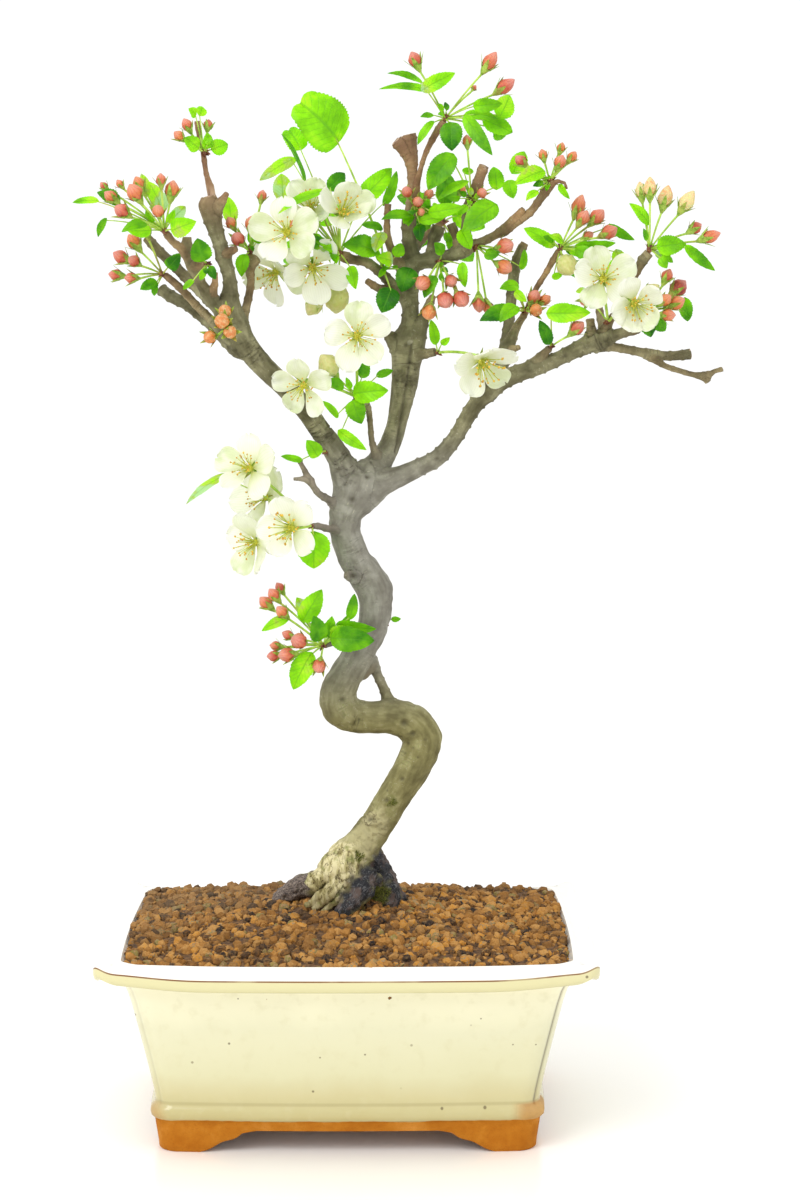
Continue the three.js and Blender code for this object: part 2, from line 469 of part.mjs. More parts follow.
// A thin leaf blade, folded along its rib; each half is a strip of triangles from rib to edge
function makeBlade({ from, tip, facing, width, form, grow }) {
  const along = tip.clone().sub(from);
  const length = along.length();
  along.normalize();
  const face = facing.clone().addScaledVector(along, -facing.dot(along)).normalize();
  const side = new THREE.Vector3().crossVectors(face, along);
  const half = bladeSize.thickness / 2 + grow;
  const stretch = grow / length;
  const at = (share, sideways, level) => from.clone()
    .addScaledVector(along, length * share)
    .addScaledVector(side, sideways)
    .addScaledVector(face, level + length * bladeSize.arch * 4 * share * (1 - share))
    .addScaledVector(face, bladeSize.fold * Math.abs(sideways));
  const edgeOf = (sign) => [
    [-stretch, 0],
    ...form.outline.map(([share, spread], index) => {
      const bite = form.toothed && index % 2 ? 1 - bladeSize.tooth : 1;
      return [share, sign * ((width / 2) * spread * bite + grow)];
    }),
    [1 + stretch, 0],
  ];
  const rib = [[-stretch, 0], ...form.ribs.map((share) => [share, 0]), [1 + stretch, 0]];
  const positions = [];
  const numbers = new Map();
  const vertex = ([share, sideways], level) => {
    const key = `${share} ${sideways} ${level}`;
    if (!numbers.has(key)) {
      numbers.set(key, numbers.size);
      positions.push(...at(share, sideways, level).toArray());
    }
    return numbers.get(key);
  };
  const faces = [];
  const triangle = (a, b, c, sign) => faces.push(...(sign > 0 ? [a, b, c] : [a, c, b]));
  [1, -1].forEach((sign) => {
    const edge = edgeOf(sign);
    const lastEdge = edge.length - 1;
    const lastRib = rib.length - 1;
    let edgeAt = 0;
    let ribAt = 0;
    while (edgeAt < lastEdge || ribAt < lastRib) {
      const onRib = ribAt < lastRib && edgeAt > 0
        && (edgeAt === lastEdge || rib[ribAt + 1][0] <= edge[edgeAt + 1][0]);
      const next = onRib ? rib[ribAt + 1] : edge[edgeAt + 1];
      const atStart = ribAt === 0 && edgeAt === 0;
      const atEnd = !onRib && edgeAt === lastEdge - 1 && ribAt === lastRib;
      if (!atStart && !atEnd) {
        const corner = rib[ribAt];
        triangle(vertex(corner, half), vertex(next, half), vertex(edge[edgeAt], half), sign);
        triangle(vertex(corner, -half), vertex(edge[edgeAt], -half), vertex(next, -half), sign);
      }
      if (onRib) ribAt += 1;
      else edgeAt += 1;
    }
    for (let index = 0; index < lastEdge; index += 1) {
      const near = edge[index];
      const far = edge[index + 1];
      triangle(vertex(near, half), vertex(far, -half), vertex(far, half), -sign);
      triangle(vertex(near, half), vertex(near, -half), vertex(far, -half), -sign);
    }
  });
  const geometry = new THREE.BufferGeometry();
  geometry.setAttribute('position', new THREE.Float32BufferAttribute(positions, 3));
  geometry.setIndex(faces);
  return geometry;
}

// A bowed route of a few points from one place to another
function bowed(start, end, pieces, rise) {
  const middle = start.clone().lerp(end, 0.5);
  middle.z += rise * start.distanceTo(end);
  const curve = new THREE.QuadraticBezierCurve3(start, middle, end);
  return curve.getPoints(pieces);
}

function makeLeaf(base, row, grow) {
  const [fromAcross, fromDown, tipAcross, tipDown, fromDepth, tipDepth, width, roll] = row;
  const from = place([fromAcross, fromDown, fromDepth]);
  const tip = place([tipAcross, tipDown, tipDepth]);
  const along = tip.clone().sub(from).normalize();
  const facing = new THREE.Vector3(0, -1, 0.25).applyAxisAngle(along, THREE.MathUtils.degToRad(roll));
  const form = [largeLeaf, middleLeaf].find((kind) => width >= kind.from);
  const leaf = makeBlade({ from, tip, facing, width, form, grow });
  const inside = from.clone().lerp(tip, stemSize.intoBlade);
  const isLong = base.distanceTo(from) > stemSize.longAbove;
  const route = isLong ? bowed(base, inside, 2, stemSize.leafSag) : [base, inside];
  const radii = route.map(() => stemSize.leafStalk);
  radii[radii.length - 1] = stemSize.stalkEnd;
  return solidOf(leaf).add(solidOf(stem(route, radii, 3, grow)));
}

// A bud's places along its middle line and its widths there, as shares of its radius
const budProfile = [[-1.5, 0.2], [-0.1, 1], [1.2, 0.3]];

function makeBud(base, [across, down, depth, radius], grow) {
  const middle = place([across, down, depth]);
  const along = middle.clone().sub(base).normalize();
  along.z += stemSize.budRise;
  along.normalize();
  const at = (share) => middle.clone().addScaledVector(along, share * radius);
  const route = [base, ...budProfile.map(([share]) => at(share))];
  const radii = budProfile.map(([, share]) => Math.max(stemSize.budStalk, share * radius));
  return solidOf(stem(route, [stemSize.budStalk, ...radii], 4, grow));
}

// Where a bloom sits: its middle, the way it faces and its size
function bloomSeat([across, down, depth, faceX, faceY, faceZ, turn, share]) {
  const middle = place([across, down, depth]);
  const facing = new THREE.Vector3(faceX, faceY, faceZ).normalize();
  const first = new THREE.Vector3(0, 0, 1).addScaledVector(facing, -facing.z).normalize();
  first.applyAxisAngle(facing, THREE.MathUtils.degToRad(turn));
  return { middle, facing, first, share };
}

function makeBloomStalk(base, row, grow) {
  const { middle, facing } = bloomSeat(row);
  const seat = middle.clone().addScaledVector(facing, -bladeSize.thickness / 2 - gap);
  const cup = seat.clone().addScaledVector(facing, -bloomSize.cupLength);
  const route = [...bowed(base, cup, 2, stemSize.bloomSag), seat];
  return solidOf(stem(route, [stemSize.bloomStalk, stemSize.bloomStalk, 1.4, 2.2], 4, grow));
}

function makePetals(row, grow) {
  const { middle, facing, first, share } = bloomSeat(row);
  const reach = bloomSize.petal * share;
  const half = (bloomSize.width * share) / 2;
  const outline = new THREE.Shape();
  const edge = [
    ...petalOutline.map(([out, spread]) => [out * reach, -spread * half]),
    ...petalOutline.slice(0, -1).reverse().map(([out, spread]) => [out * reach, spread * half]),
  ];
  const step = (2 * Math.PI) / bloomSize.petals;
  for (let count = 0; count < bloomSize.petals; count += 1) {
    const turn = count * step;
    const valley = new THREE.Vector2(bloomSize.hub, 0).rotateAround(new THREE.Vector2(), turn - step / 2);
    if (count === 0) outline.moveTo(valley.x, valley.y);
    else outline.lineTo(valley.x, valley.y);
    edge.forEach(([out, sideways]) => {
      const point = new THREE.Vector2(out + grow, sideways + Math.sign(sideways) * grow);
      point.rotateAround(new THREE.Vector2(), turn);
      outline.lineTo(point.x, point.y);
    });
  }
  const thickness = bladeSize.thickness + 2 * grow;
  const flower = new THREE.ExtrudeGeometry(outline, { depth: thickness, bevelEnabled: false });
  flower.translate(0, 0, -thickness / 2);
  const spots = flower.attributes.position;
  for (let index = 0; index < spots.count; index += 1) {
    const out = Math.hypot(spots.getX(index), spots.getY(index));
    const turn = Math.atan2(spots.getY(index), spots.getX(index));
    const fromPetal = (turn / step + bloomSize.petals + 0.5) % 1 - 0.5;
    const sideways = Math.abs(fromPetal) * out;
    const outward = Math.max(0, out - bloomSize.hub) / reach;
    spots.setZ(index, spots.getZ(index) + bloomSize.cup * outward * outward + bloomSize.roll * sideways);
  }
  const side = new THREE.Vector3().crossVectors(facing, first);
  const frame = new THREE.Matrix4().makeBasis(first, side, facing);
  flower.applyMatrix4(frame.setPosition(middle));
  return solidOf(flower);
}

// The stamens of one bloom: a crown of filaments round a button, each ending in a flat anther
function makeStamens(row, grow) {
  const { middle, facing, first } = bloomSeat(row);
  const side = new THREE.Vector3().crossVectors(facing, first);
  const foot = middle.clone().addScaledVector(facing, bladeSize.thickness / 2 + bloomSize.lift - grow);
  const at = (angle, radius, height) => foot.clone()
    .addScaledVector(first, radius * Math.cos(angle))
    .addScaledVector(side, radius * Math.sin(angle))
    .addScaledVector(facing, height);
  const { stamens, stamenLength, button, buttonHeight, anther } = bloomSize;
  const step = (2 * Math.PI) / stamens;
  const halfRoot = 0.2 * step;
  const corners = (angle) => [angle - step / 2, angle - halfRoot, angle + halfRoot];
  const counts = Array.from({ length: stamens }, (_, count) => count);
  const ring = (cornersOf) => counts.flatMap((count) => cornersOf(count * step, count % 2));
  const bottom = ring((angle) => corners(angle).map((turn) => at(turn, button + grow, 0)));
  const crown = ring((angle, inner) => {
    const radius = stamenLength * (inner ? 0.35 : 0.62) + grow;
    const height = stamenLength * (inner ? 0.85 : 0.75) + grow;
    const halfTurn = (anther / 2 + grow) / radius;
    return [
      at(angle - step / 2, button - 0.3 + grow, buttonHeight + grow),
      at(angle - halfTurn, radius, height),
      at(angle + halfTurn, radius, height),
    ];
  });
  const top = ring((angle) => corners(angle).map((turn) => at(turn, button / 3, buttonHeight + 2 * grow)));
  return solidOf(skin([bottom, crown, top]));
}

function makeGreens(spray, grow) {
  const base = seatOf(spray);
  const knob = new THREE.OctahedronGeometry(stemSize.knob + 1.7 * grow, 0);
  knob.translate(base.x, base.y, base.z);
  return fuse([
    solidOf(knob),
    ...spray.leaves.map((row) => makeLeaf(base, row, grow)),
    ...spray.buds.map((row) => makeBud(base, row, grow)),
    ...spray.blooms.map((row) => makeBloomStalk(base, row, grow)),
  ]);
}

// The pot: a loop round it at one height, with rounded corners and gently bowed sides
function potLoop(halfLength, height, { inset = 0, lift = 0 } = {}) {
  const halfDepth = pot.depth / 2 - (pot.length / 2 - halfLength) * pot.slopeShare - inset;
  const halfAcross = halfLength - inset;
  const radius = Math.max(2, pot.cornerRadius - inset);
  const bow = pot.bow * (halfAcross / (pot.length / 2));
  const points = [];
  const corners = [[1, 1], [-1, 1], [-1, -1], [1, -1]];
  corners.forEach(([signX, signY], corner) => {
    for (let step = 0; step <= 2; step += 1) {
      const angle = ((corner + step / 2) * Math.PI) / 2;
      points.push(new THREE.Vector3(
        signX * (halfAcross - radius) + radius * Math.cos(angle),
        signY * (halfDepth - radius) + radius * Math.sin(angle),
        height + lift,
      ));
    }
    const alongLength = corner % 2 === 0;
    points.push(alongLength
      ? new THREE.Vector3(0, signY * (halfDepth + bow), height)
      : new THREE.Vector3(signX * (halfAcross + bow / 2), 0, height));
  });
  return points;
}

const drainPlaces = [-pot.drainSpacing / 2, pot.drainSpacing / 2];

// Height and half length at each level of the pot's outside, then its rim, then its inside
const potOutside = [
  [0, 95.5], [16.5, 97.2], [20, 99.2], [24.5, 96.8], [50, 101.6], [82, 109], [89, 114.2],
];
const potInside = [[98, 112], [88, 107], [50, 96.5], [pot.floor, 87.5]];

// The stepped opening between two feet
function archShape(halfSpan) {
  const rise = pot.archHeight;
  const steps = [
    [14, 0], [9, 0.15 * rise], [3, 0.48 * rise], [-4, 0.64 * rise], [-7, 0.88 * rise], [-14, rise],
  ];
  const leftEdge = steps.map(([outset, height]) => new THREE.Vector2(-halfSpan - outset, height));
  const rightEdge = steps.map(([outset, height]) => new THREE.Vector2(halfSpan + outset, height)).reverse();
  const widest = halfSpan + steps[0][0];
  const below = [new THREE.Vector2(widest, -1), new THREE.Vector2(-widest, -1)];
  return new THREE.Shape([...leftEdge, ...rightEdge, ...below]);
}

function makePot() {
  const recess = pot.length / 2 - pot.footLength / 2 + pot.footWall;
  const underside = [
    potLoop(pot.length / 2 - recess - 0.6, pot.footHeight),
    potLoop(pot.length / 2 - recess, 0),
  ];
  const half = pot.length / 2;
  const lip = [
    potLoop(half - 0.6, pot.height - pot.lip, { lift: pot.cornerLift }),
    potLoop(half, pot.height - pot.lip + 1.2, { lift: pot.cornerLift }),
    potLoop(half, pot.height - 1, { lift: pot.cornerLift }),
    potLoop(half - pot.rimRound, pot.height, { lift: pot.cornerLift }),
    potLoop(half - pot.rimWidth, pot.height - 0.4, { lift: 0.6 }),
  ];
  const rings = [
    ...underside,
    ...potOutside.map(([height, across]) => potLoop(across, height)),
    ...lip,
    ...potInside.map(([height, across]) => potLoop(across, height)),
  ];
  let body = solidOf(skin(rings));
  const cutThrough = (halfSpan, depth) => new THREE.ExtrudeGeometry(
    archShape(halfSpan),
    { depth, bevelEnabled: false },
  );
  const frontArch = cutThrough(pot.frontArch, pot.depth);
  frontArch.rotateX(Math.PI / 2).translate(0, pot.depth / 2, 0);
  const sideArch = cutThrough(pot.sideArch, pot.length);
  sideArch.rotateX(Math.PI / 2).rotateZ(Math.PI / 2).translate(-pot.length / 2, 0, 0);
  body = body.subtract(solidOf(frontArch)).subtract(solidOf(sideArch));
  drainPlaces.forEach((x) => {
    const radius = pot.drainDiameter / 2;
    const drain = new THREE.CylinderGeometry(radius, radius, pot.floor * 2, 12);
    drain.rotateX(Math.PI / 2).translate(x, 0, pot.floor / 2);
    body = body.subtract(solidOf(drain));
  });
  return mainBody(body);
}

// A square plastic screen over a drain hole
function makeScreen(x) {
  const height = pot.floor + gap + screenSize.thickness / 2;
  const box = (side, thickness, dx, dy) => solidOf(
    new THREE.BoxGeometry(side, side, thickness).translate(x + dx, dy, height),
  );
  const middle = (screenSize.holesAcross - 1) / 2;
  let plate = box(screenSize.side, screenSize.thickness, 0, 0);
  for (let row = 0; row < screenSize.holesAcross; row += 1) {
    for (let column = 0; column < screenSize.holesAcross; column += 1) {
      const across = (column - middle) * screenSize.pitch;
      const along = (row - middle) * screenSize.pitch;
      plate = plate.subtract(box(screenSize.hole, 4 * screenSize.thickness, across, along));
    }
  }
  return mainBody(plate);
}

// The soil: the inside of the pot up to a mounded, grainy top, with holes for the trunk and roots
function makeSoil(treeSpace) {
  const layers = potInside.map(([height, across]) => potLoop(across, height, { inset: gap }));
  layers[layers.length - 1] = potLoop(potInside.at(-1)[1], pot.floor + gap, { inset: gap });
  const top = potLoop(potInside[0][1] + 1.5, pot.height + 20, { inset: gap });
  const inside = solidOf(skin([...layers.reverse(), top]));
  const acrossCells = Math.round(pot.length / soilSize.cell);
  const depthCells = Math.round(pot.depth / soilSize.cell);
  const block = new THREE.BoxGeometry(pot.length, pot.depth, pot.height, acrossCells, depthCells, 1);
  block.translate(0, 0, -pot.height / 2);
  block.deleteAttribute('normal');
  block.deleteAttribute('uv');
  const ground = mergeVertices(block, 1e-3);
  const draw = dice(7);
  const spots = ground.attributes.position;
  for (let index = 0; index < spots.count; index += 1) {
    if (spots.getZ(index) < -1) continue;
    const x = spots.getX(index);
    const y = spots.getY(index);
    const share = Math.min(1, Math.hypot((2 * x) / pot.length, (2 * y) / pot.depth));
    const mound = soilSize.mound * (1 - share * share) + soilSize.backRise * (0.5 + y / pot.depth);
    const grain = (draw() - 0.5) * 2 * soilSize.grain;
    spots.setXYZ(
      index,
      x + (draw() - 0.5) * soilSize.jog,
      y + (draw() - 0.5) * soilSize.jog,
      pot.height - soilSize.edgeBelowRim + mound + grain,
    );
  }
  let soil = inside.intersect(solidOf(ground)).subtract(treeSpace);
  drainPlaces.forEach((x) => {
    const side = screenSize.side + 2 * gap;
    const depth = 2 * (screenSize.thickness + 2 * gap);
    const pocket = new THREE.BoxGeometry(side, side, depth).translate(x, 0, pot.floor);
    soil = soil.subtract(solidOf(pocket));
  });
  return mainBody(soil);
}

// Finishes
const glazedClay = { color: 0xf0ead0, roughness: 0.25 };
const bark = { color: 0x86806c, roughness: 0.85 };
const soilGrains = { color: 0x9a6238, roughness: 0.95 };
const leafGreen = { color: 0x6fb81c, roughness: 0.5 };
const petalWhite = { color: 0xf6f6ea, roughness: 0.6 };
const stamenYellow = { color: 0xd8d060, roughness: 0.7 };
const screenPlastic = { color: 0x2c2c2c, roughness: 0.6 };

// A mesh whose own origin is at a natural point of the piece
function piece(name, geometry, finish, origin = new THREE.Vector3()) {
  geometry.translate(-origin.x, -origin.y, -origin.z);
  const mesh = new THREE.Mesh(geometry, new THREE.MeshStandardMaterial(finish));
  mesh.name = name;
  mesh.position.copy(origin);
  return mesh;
}

// What is already built, kept a little thicker, so that each later piece is cut clear of it
const taken = [];
function clearOf(solid) {
  const box = solid.boundingBox();
  return taken.reduce((rest, other) => {
    const apart = [0, 1, 2].some(
      (axis) => other.box.min[axis] > box.max[axis] || other.box.max[axis] < box.min[axis],
    );
    return apart ? rest : rest.subtract(other.solid);
  }, solid);
}
function take(solid) {
  taken.push({ solid, box: solid.boundingBox() });
}

const bonsai = new THREE.Group();
const potGroup = new THREE.Group();
const plant = new THREE.Group();
bonsai.add(potGroup, plant);

const treeSpace = makeTree(gap);
take(treeSpace);
potGroup.add(piece('pot', makePot(), glazedClay));
drainPlaces.forEach((x, index) => {
  potGroup.add(piece(`drain_screen_${index + 1}`, makeScreen(x), screenPlastic));
});
potGroup.add(piece('soil', makeSoil(treeSpace), soilGrains));
plant.add(piece('tree', mainBody(makeTree(0)), bark, place(limbs[0][1])));

sprays.forEach((spray) => {
  plant.add(piece(spray.name, mainBody(clearOf(makeGreens(spray, 0))), leafGreen, seatOf(spray)));
  take(makeGreens(spray, gap));
});
let bloomCount = 0;
sprays.forEach((spray) => {
  spray.blooms.forEach((row) => {
    bloomCount += 1;
    const number = String(bloomCount).padStart(2, '0');
    const { middle } = bloomSeat(row);
    const petals = clearOf(makePetals(row, 0));
    take(makePetals(row, gap));
    const stamens = clearOf(makeStamens(row, 0));
    take(makeStamens(row, gap));
    plant.add(piece(`bloom_${number}_petals`, mainBody(petals), petalWhite, middle));
    plant.add(piece(`bloom_${number}_stamens`, mainBody(stamens), stamenYellow, middle));
  });
});

// The whole is moved so that its origin is under the middle of its box
bonsai.updateMatrixWorld(true);
const box = new THREE.Box3().setFromObject(bonsai, true);
const boxMiddle = box.getCenter(new THREE.Vector3());
bonsai.position.set(-boxMiddle.x, -boxMiddle.y, -box.min.z);

export default bonsai;
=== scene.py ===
# The crabapple bonsai in its cream pot. Sizes and places are in millimetres until a mesh is made.
import math
import random

import bpy
import numpy as np
from mathutils import Matrix, Vector, noise


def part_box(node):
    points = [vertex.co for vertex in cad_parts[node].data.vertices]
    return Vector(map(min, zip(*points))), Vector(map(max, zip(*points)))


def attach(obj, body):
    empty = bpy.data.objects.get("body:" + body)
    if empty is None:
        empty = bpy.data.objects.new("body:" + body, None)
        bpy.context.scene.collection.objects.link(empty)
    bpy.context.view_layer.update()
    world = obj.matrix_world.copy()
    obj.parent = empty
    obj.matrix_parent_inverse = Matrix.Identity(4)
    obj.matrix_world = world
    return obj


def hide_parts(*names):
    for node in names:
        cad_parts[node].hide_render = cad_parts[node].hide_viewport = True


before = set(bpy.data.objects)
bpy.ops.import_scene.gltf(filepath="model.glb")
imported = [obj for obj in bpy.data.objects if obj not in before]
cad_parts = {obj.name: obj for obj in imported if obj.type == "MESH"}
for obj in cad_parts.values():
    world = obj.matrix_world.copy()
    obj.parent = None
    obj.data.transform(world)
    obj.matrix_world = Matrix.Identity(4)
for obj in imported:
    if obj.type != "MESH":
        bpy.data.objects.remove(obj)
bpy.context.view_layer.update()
potLow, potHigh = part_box("pot")
potMiddle = Vector(((potLow.x + potHigh.x) / 2, (potLow.y + potHigh.y) / 2, 0))
millimetre = 0.001
print("frame loaded")

# The front view in which places are read: 800 across, 1200 down, and a depth behind the pot's middle
frontView = {"across": 400, "down": 600, "focal": 2800, "distance": 1440, "height": 437, "aside": 18,
             "pitch": math.radians(6.6), "yaw": math.radians(0.35)}
eye = Vector((frontView["aside"], -frontView["distance"], frontView["height"]))
yaw = frontView["yaw"]
ahead = Vector((math.sin(yaw), math.cos(yaw), -math.tan(frontView["pitch"]))).normalized()
rightward = Vector((math.cos(yaw), -math.sin(yaw), 0))
upward = rightward.cross(ahead)


def place(across, down, depth):
    ray = ahead + rightward * ((across - frontView["across"]) / frontView["focal"])
    ray += upward * ((frontView["down"] - down) / frontView["focal"])
    return eye + ray * ((depth - eye.y) / ray.y)


def toMetres(point):
    return Vector(point) * millimetre + potMiddle


def fade(low, high, value):
    # 0 at low, 1 at high, smooth between
    share = min(1, max(0, (value - low) / (high - low)))
    return share * share * (3 - 2 * share)


def along(steps, value):
    # the height of a line through (place, height) steps
    for (x0, y0), (x1, y1) in zip(steps, steps[1:]):
        if value <= x1:
            return y0 + (y1 - y0) * max(0, value - x0) / (x1 - x0)
    return steps[-1][1]


def crossed(axis):
    # two directions across an axis, at right angles to each other
    first = axis.orthogonal().normalized()
    return first, axis.cross(first)


def circling(first, second, turn):
    return first * math.cos(turn) + second * math.sin(turn)


def headings(route):
    # the way on at each spot of a route
    last = len(route) - 1
    return [(route[min(number + 1, last)] - route[max(number - 1, 0)]).normalized()
            for number in range(last + 1)]


def colour(red, green, blue):
    # a screen colour of 0 to 255 as light
    return tuple(((part / 255 + 0.055) / 1.055) ** 2.4 for part in (red, green, blue)) + (1,)


class Draft:
    # the corners and faces of one piece; each corner has a place on the piece's map and named values
    def __init__(self, *names):
        self.points, self.map, self.faces, self.finishes = [], [], [], []
        self.values = {name: [] for name in names}

    def point(self, spot, onMap=(0, 0), **values):
        self.points.append(toMetres(spot))
        self.map.append(onMap)
        for name, kept in self.values.items():
            kept.append(values.get(name, 0))
        return len(self.points) - 1

    def face(self, corners, finish=0):
        self.faces.append(tuple(corners))
        self.finishes.append(finish)

    def band(self, low, high, finish=0, around=True):
        # quads between two rows of corners
        count = len(low)
        for step in range(count if around else count - 1):
            after = (step + 1) % count
            self.face((low[step], low[after], high[after], high[step]), finish)

    def tube(self, route, radii, sides, finish=0, **values):
        # a round stem, closed at both ends
        rows = []
        side = Vector((0, -1, 0))
        travelled = 0
        for number, (spot, onward) in enumerate(zip(route, headings(route))):
            side = side - onward * side.dot(onward)
            if side.length < 0.1:
                side = Vector((1, 0, 0)) - onward * onward.x
            side.normalize()
            other = onward.cross(side)
            travelled += (spot - route[max(number - 1, 0)]).length
            turns = [math.tau * corner / sides for corner in range(sides)]
            rows.append([self.point(spot + radii[number] * circling(side, other, turn),
                                    (turn / math.tau, travelled / 10), **values) for turn in turns])
        self.skin(rows, finish)

    def skin(self, rings, finish=0):
        # bands from ring to ring, closed at both ends
        for low, high in zip(rings, rings[1:]):
            self.band(low, high, finish)
        self.face(reversed(rings[0]), finish)
        self.face(rings[-1], finish)

    def sheet(self, at, rows, columns, thickness, finish=0, **values):
        # a thin closed blade with sharp edges; at gives a place and its normal for a share of the
        # length from 0 to 1 and of the half width from -1 to 1
        top, bottom = [], []
        for row in range(rows + 1):
            topRow, bottomRow = [], []
            for column in range(columns + 1):
                share, sideways = row / rows, 2 * column / columns - 1
                spot, normal = at(share, sideways)
                onMap = (share, sideways / 2 + 0.5)
                if row in (0, rows) or column in (0, columns):
                    topRow.append(self.point(spot, onMap, **values))
                    bottomRow.append(topRow[-1])
                else:
                    lift = normal * (thickness / 2)
                    topRow.append(self.point(spot + lift, onMap, **values))
                    bottomRow.append(self.point(spot - lift, onMap, **values))
            top.append(topRow)
            bottom.append(bottomRow)
        for row in range(rows):
            self.band(top[row], top[row + 1], finish, around=False)
            self.band(bottom[row][::-1], bottom[row + 1][::-1], finish, around=False)

    def make(self, name, finishes, sharpAngle=50):
        mesh = bpy.data.meshes.new(name)
        mesh.from_pydata(self.points, [], self.faces)
        for finish in finishes:
            mesh.materials.append(finish)
        mesh.polygons.foreach_set("material_index", self.finishes)
        layer = mesh.uv_layers.new(name="pieceMap")
        onMap = [part for loop in mesh.loops for part in self.map[loop.vertex_index]]
        layer.data.foreach_set("uv", onMap)
        for valueName, kept in self.values.items():
            mesh.attributes.new(valueName, "FLOAT", "POINT").data.foreach_set("value", kept)
        mesh.set_sharp_from_angle(angle=math.radians(sharpAngle))
        return addPiece(name, mesh)


def addPiece(name, mesh):
    piece = bpy.data.objects.new(name, mesh)
    bpy.context.scene.collection.objects.link(piece)
    return piece


def settle(piece, slotName, *nodes):
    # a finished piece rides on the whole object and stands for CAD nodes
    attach(piece, "root")
    if nodes:
        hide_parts(*nodes)


def bake(piece):
    # the piece's mesh with its modifiers in it
    bpy.context.view_layer.update()
    evaluated = piece.evaluated_get(bpy.context.evaluated_depsgraph_get())
    mesh = bpy.data.meshes.new_from_object(evaluated)
    piece.modifiers.clear()
    oldMesh = piece.data
    piece.data = mesh
    bpy.data.meshes.remove(oldMesh)
    mesh.name = piece.name


class Nodes:
    # nodes put one by one into the tree of a material or a modifier
    def __init__(self, tree):
        self.tree = tree

    def add(self, kind, inputs=(), result=0, **settings):
        # a new node with its settings and inputs; one of its results comes back
        node = self.tree.nodes.new(kind)
        for name, value in settings.items():
            setattr(node, name, value)
        for name, value in dict(inputs).items():
            self.feed(node.inputs[name], value)
        return node.outputs[result]

    def feed(self, socket, value):
        # a value is another socket, a number, a vector or a screen colour
        if isinstance(value, bpy.types.NodeSocket):
            self.tree.links.new(value, socket)
        else:
            socket.default_value = colour(*value) if socket.type == "RGBA" else value

    def math(self, kind, first, second=0.0, clamp=False):
        return self.add("ShaderNodeMath", {0: first, 1: second}, operation=kind, use_clamp=clamp)

    def times(self, first, second):
        return self.math("MULTIPLY", first, second)

    def plus(self, first, second):
        return self.math("ADD", first, second)

    def minus(self, first, second):
        return self.math("SUBTRACT", first, second)

    def most(self, first, second):
        return self.math("MAXIMUM", first, second)

    def away(self, value, middle):
        return self.math("ABSOLUTE", self.minus(value, middle))


class Finish(Nodes):
    # a procedural material; shade is its colour so far and normal its relief so far
    def __init__(self, name):
        self.material = bpy.data.materials.new(name)
        self.material.use_nodes = True
        super().__init__(self.material.node_tree)
        self.shader = self.tree.nodes["Principled BSDF"]
        self.spot = self.add("ShaderNodeTexCoord", result="Object")
        self.shade = self.normal = None

    def value(self, name):
        return self.add("ShaderNodeAttribute", result="Fac", attribute_name=name)

    def vector(self, name):
        return self.add("ShaderNodeAttribute", result="Vector", attribute_name=name)

    def onMap(self):
        # the two places on the piece's own map
        onMap = self.add("ShaderNodeUVMap", uv_map="pieceMap")
        return self.add("ShaderNodeSeparateXYZ", {0: onMap}), self.add("ShaderNodeSeparateXYZ", {0: onMap}, 1)

    def axis(self, number):
        # how far to the right (0), behind (1) or up (2) a spot lies, in metres
        return self.add("ShaderNodeSeparateXYZ", {0: self.spot}, number)

    def noise(self, scale, detail=3, where=None, rough=0.5):
        inputs = {"Vector": where or self.spot, "Scale": scale, "Detail": detail, "Roughness": rough}
        return self.add("ShaderNodeTexNoise", inputs)

    def cells(self, scale, where=None):
        return self.add("ShaderNodeTexVoronoi", {"Vector": where or self.spot, "Scale": scale}, "Distance")

    def fade(self, value, low, high, start=0.0, end=1.0):
        inputs = {"Value": value, "From Min": low, "From Max": high, "To Min": start, "To Max": end}
        return self.add("ShaderNodeMapRange", inputs, interpolation_type="SMOOTHSTEP")

    def cloud(self, scale, detail, low, high, start=0.0, end=1.0):
        return self.fade(self.noise(scale, detail), low, high, start, end)

    def apart(self, first, second):
        return self.add("ShaderNodeVectorMath", {0: first, 1: second}, "Value", operation="DISTANCE")

    def stretch(self, where, scale):
        return self.add("ShaderNodeMapping", {"Vector": where, "Scale": scale})

    def ramp(self, value, *steps):
        # each step is a place on the ramp and a screen colour
        result = self.add("ShaderNodeValToRGB", {"Fac": value}, "Color")
        elements = result.node.color_ramp.elements
        elements.remove(elements[1])
        for number, (position, *shade) in enumerate(steps):
            element = elements.new(position) if number else elements[0]
            element.position, element.color = position, colour(*shade)
        return result

    def mix(self, share, first, second):
        return self.add("ShaderNodeMix", {0: share, 6: first, 7: second}, 2, data_type="RGBA")

    def paint(self, share, shade):
        # lay a shade over the colour so far
        self.shade = self.mix(share, self.shade, shade)

    def relief(self, height, depth, strength):
        inputs = {"Height": height, "Distance": depth * millimetre, "Strength": strength}
        if self.normal:
            inputs["Normal"] = self.normal
        self.normal = self.add("ShaderNodeBump", inputs)

    def done(self, roughness, gloss=0.5, through=0.0, throughShade=None, soft=(0.0, 0.05)):
        # through is the share of light that passes a thin blade; soft is how much light spreads
        # inside, and how far
        inputs = {"Base Color": self.shade, "Roughness": roughness, "Specular IOR Level": gloss,
                  "Subsurface Weight": soft[0], "Subsurface Scale": soft[1]}
        if self.normal:
            inputs["Normal"] = self.normal
        for name, value in inputs.items():
            self.feed(self.shader.inputs[name], value)
        if through:
            inputs = {"Color": throughShade or self.shade, "Normal": self.normal}
            thin = self.add("ShaderNodeBsdfTranslucent", inputs)
            both = self.add("ShaderNodeMixShader", {0: through, 1: self.shader.outputs[0], 2: thin})
            self.feed(self.tree.nodes["Material Output"].inputs["Surface"], both)
        return self.material


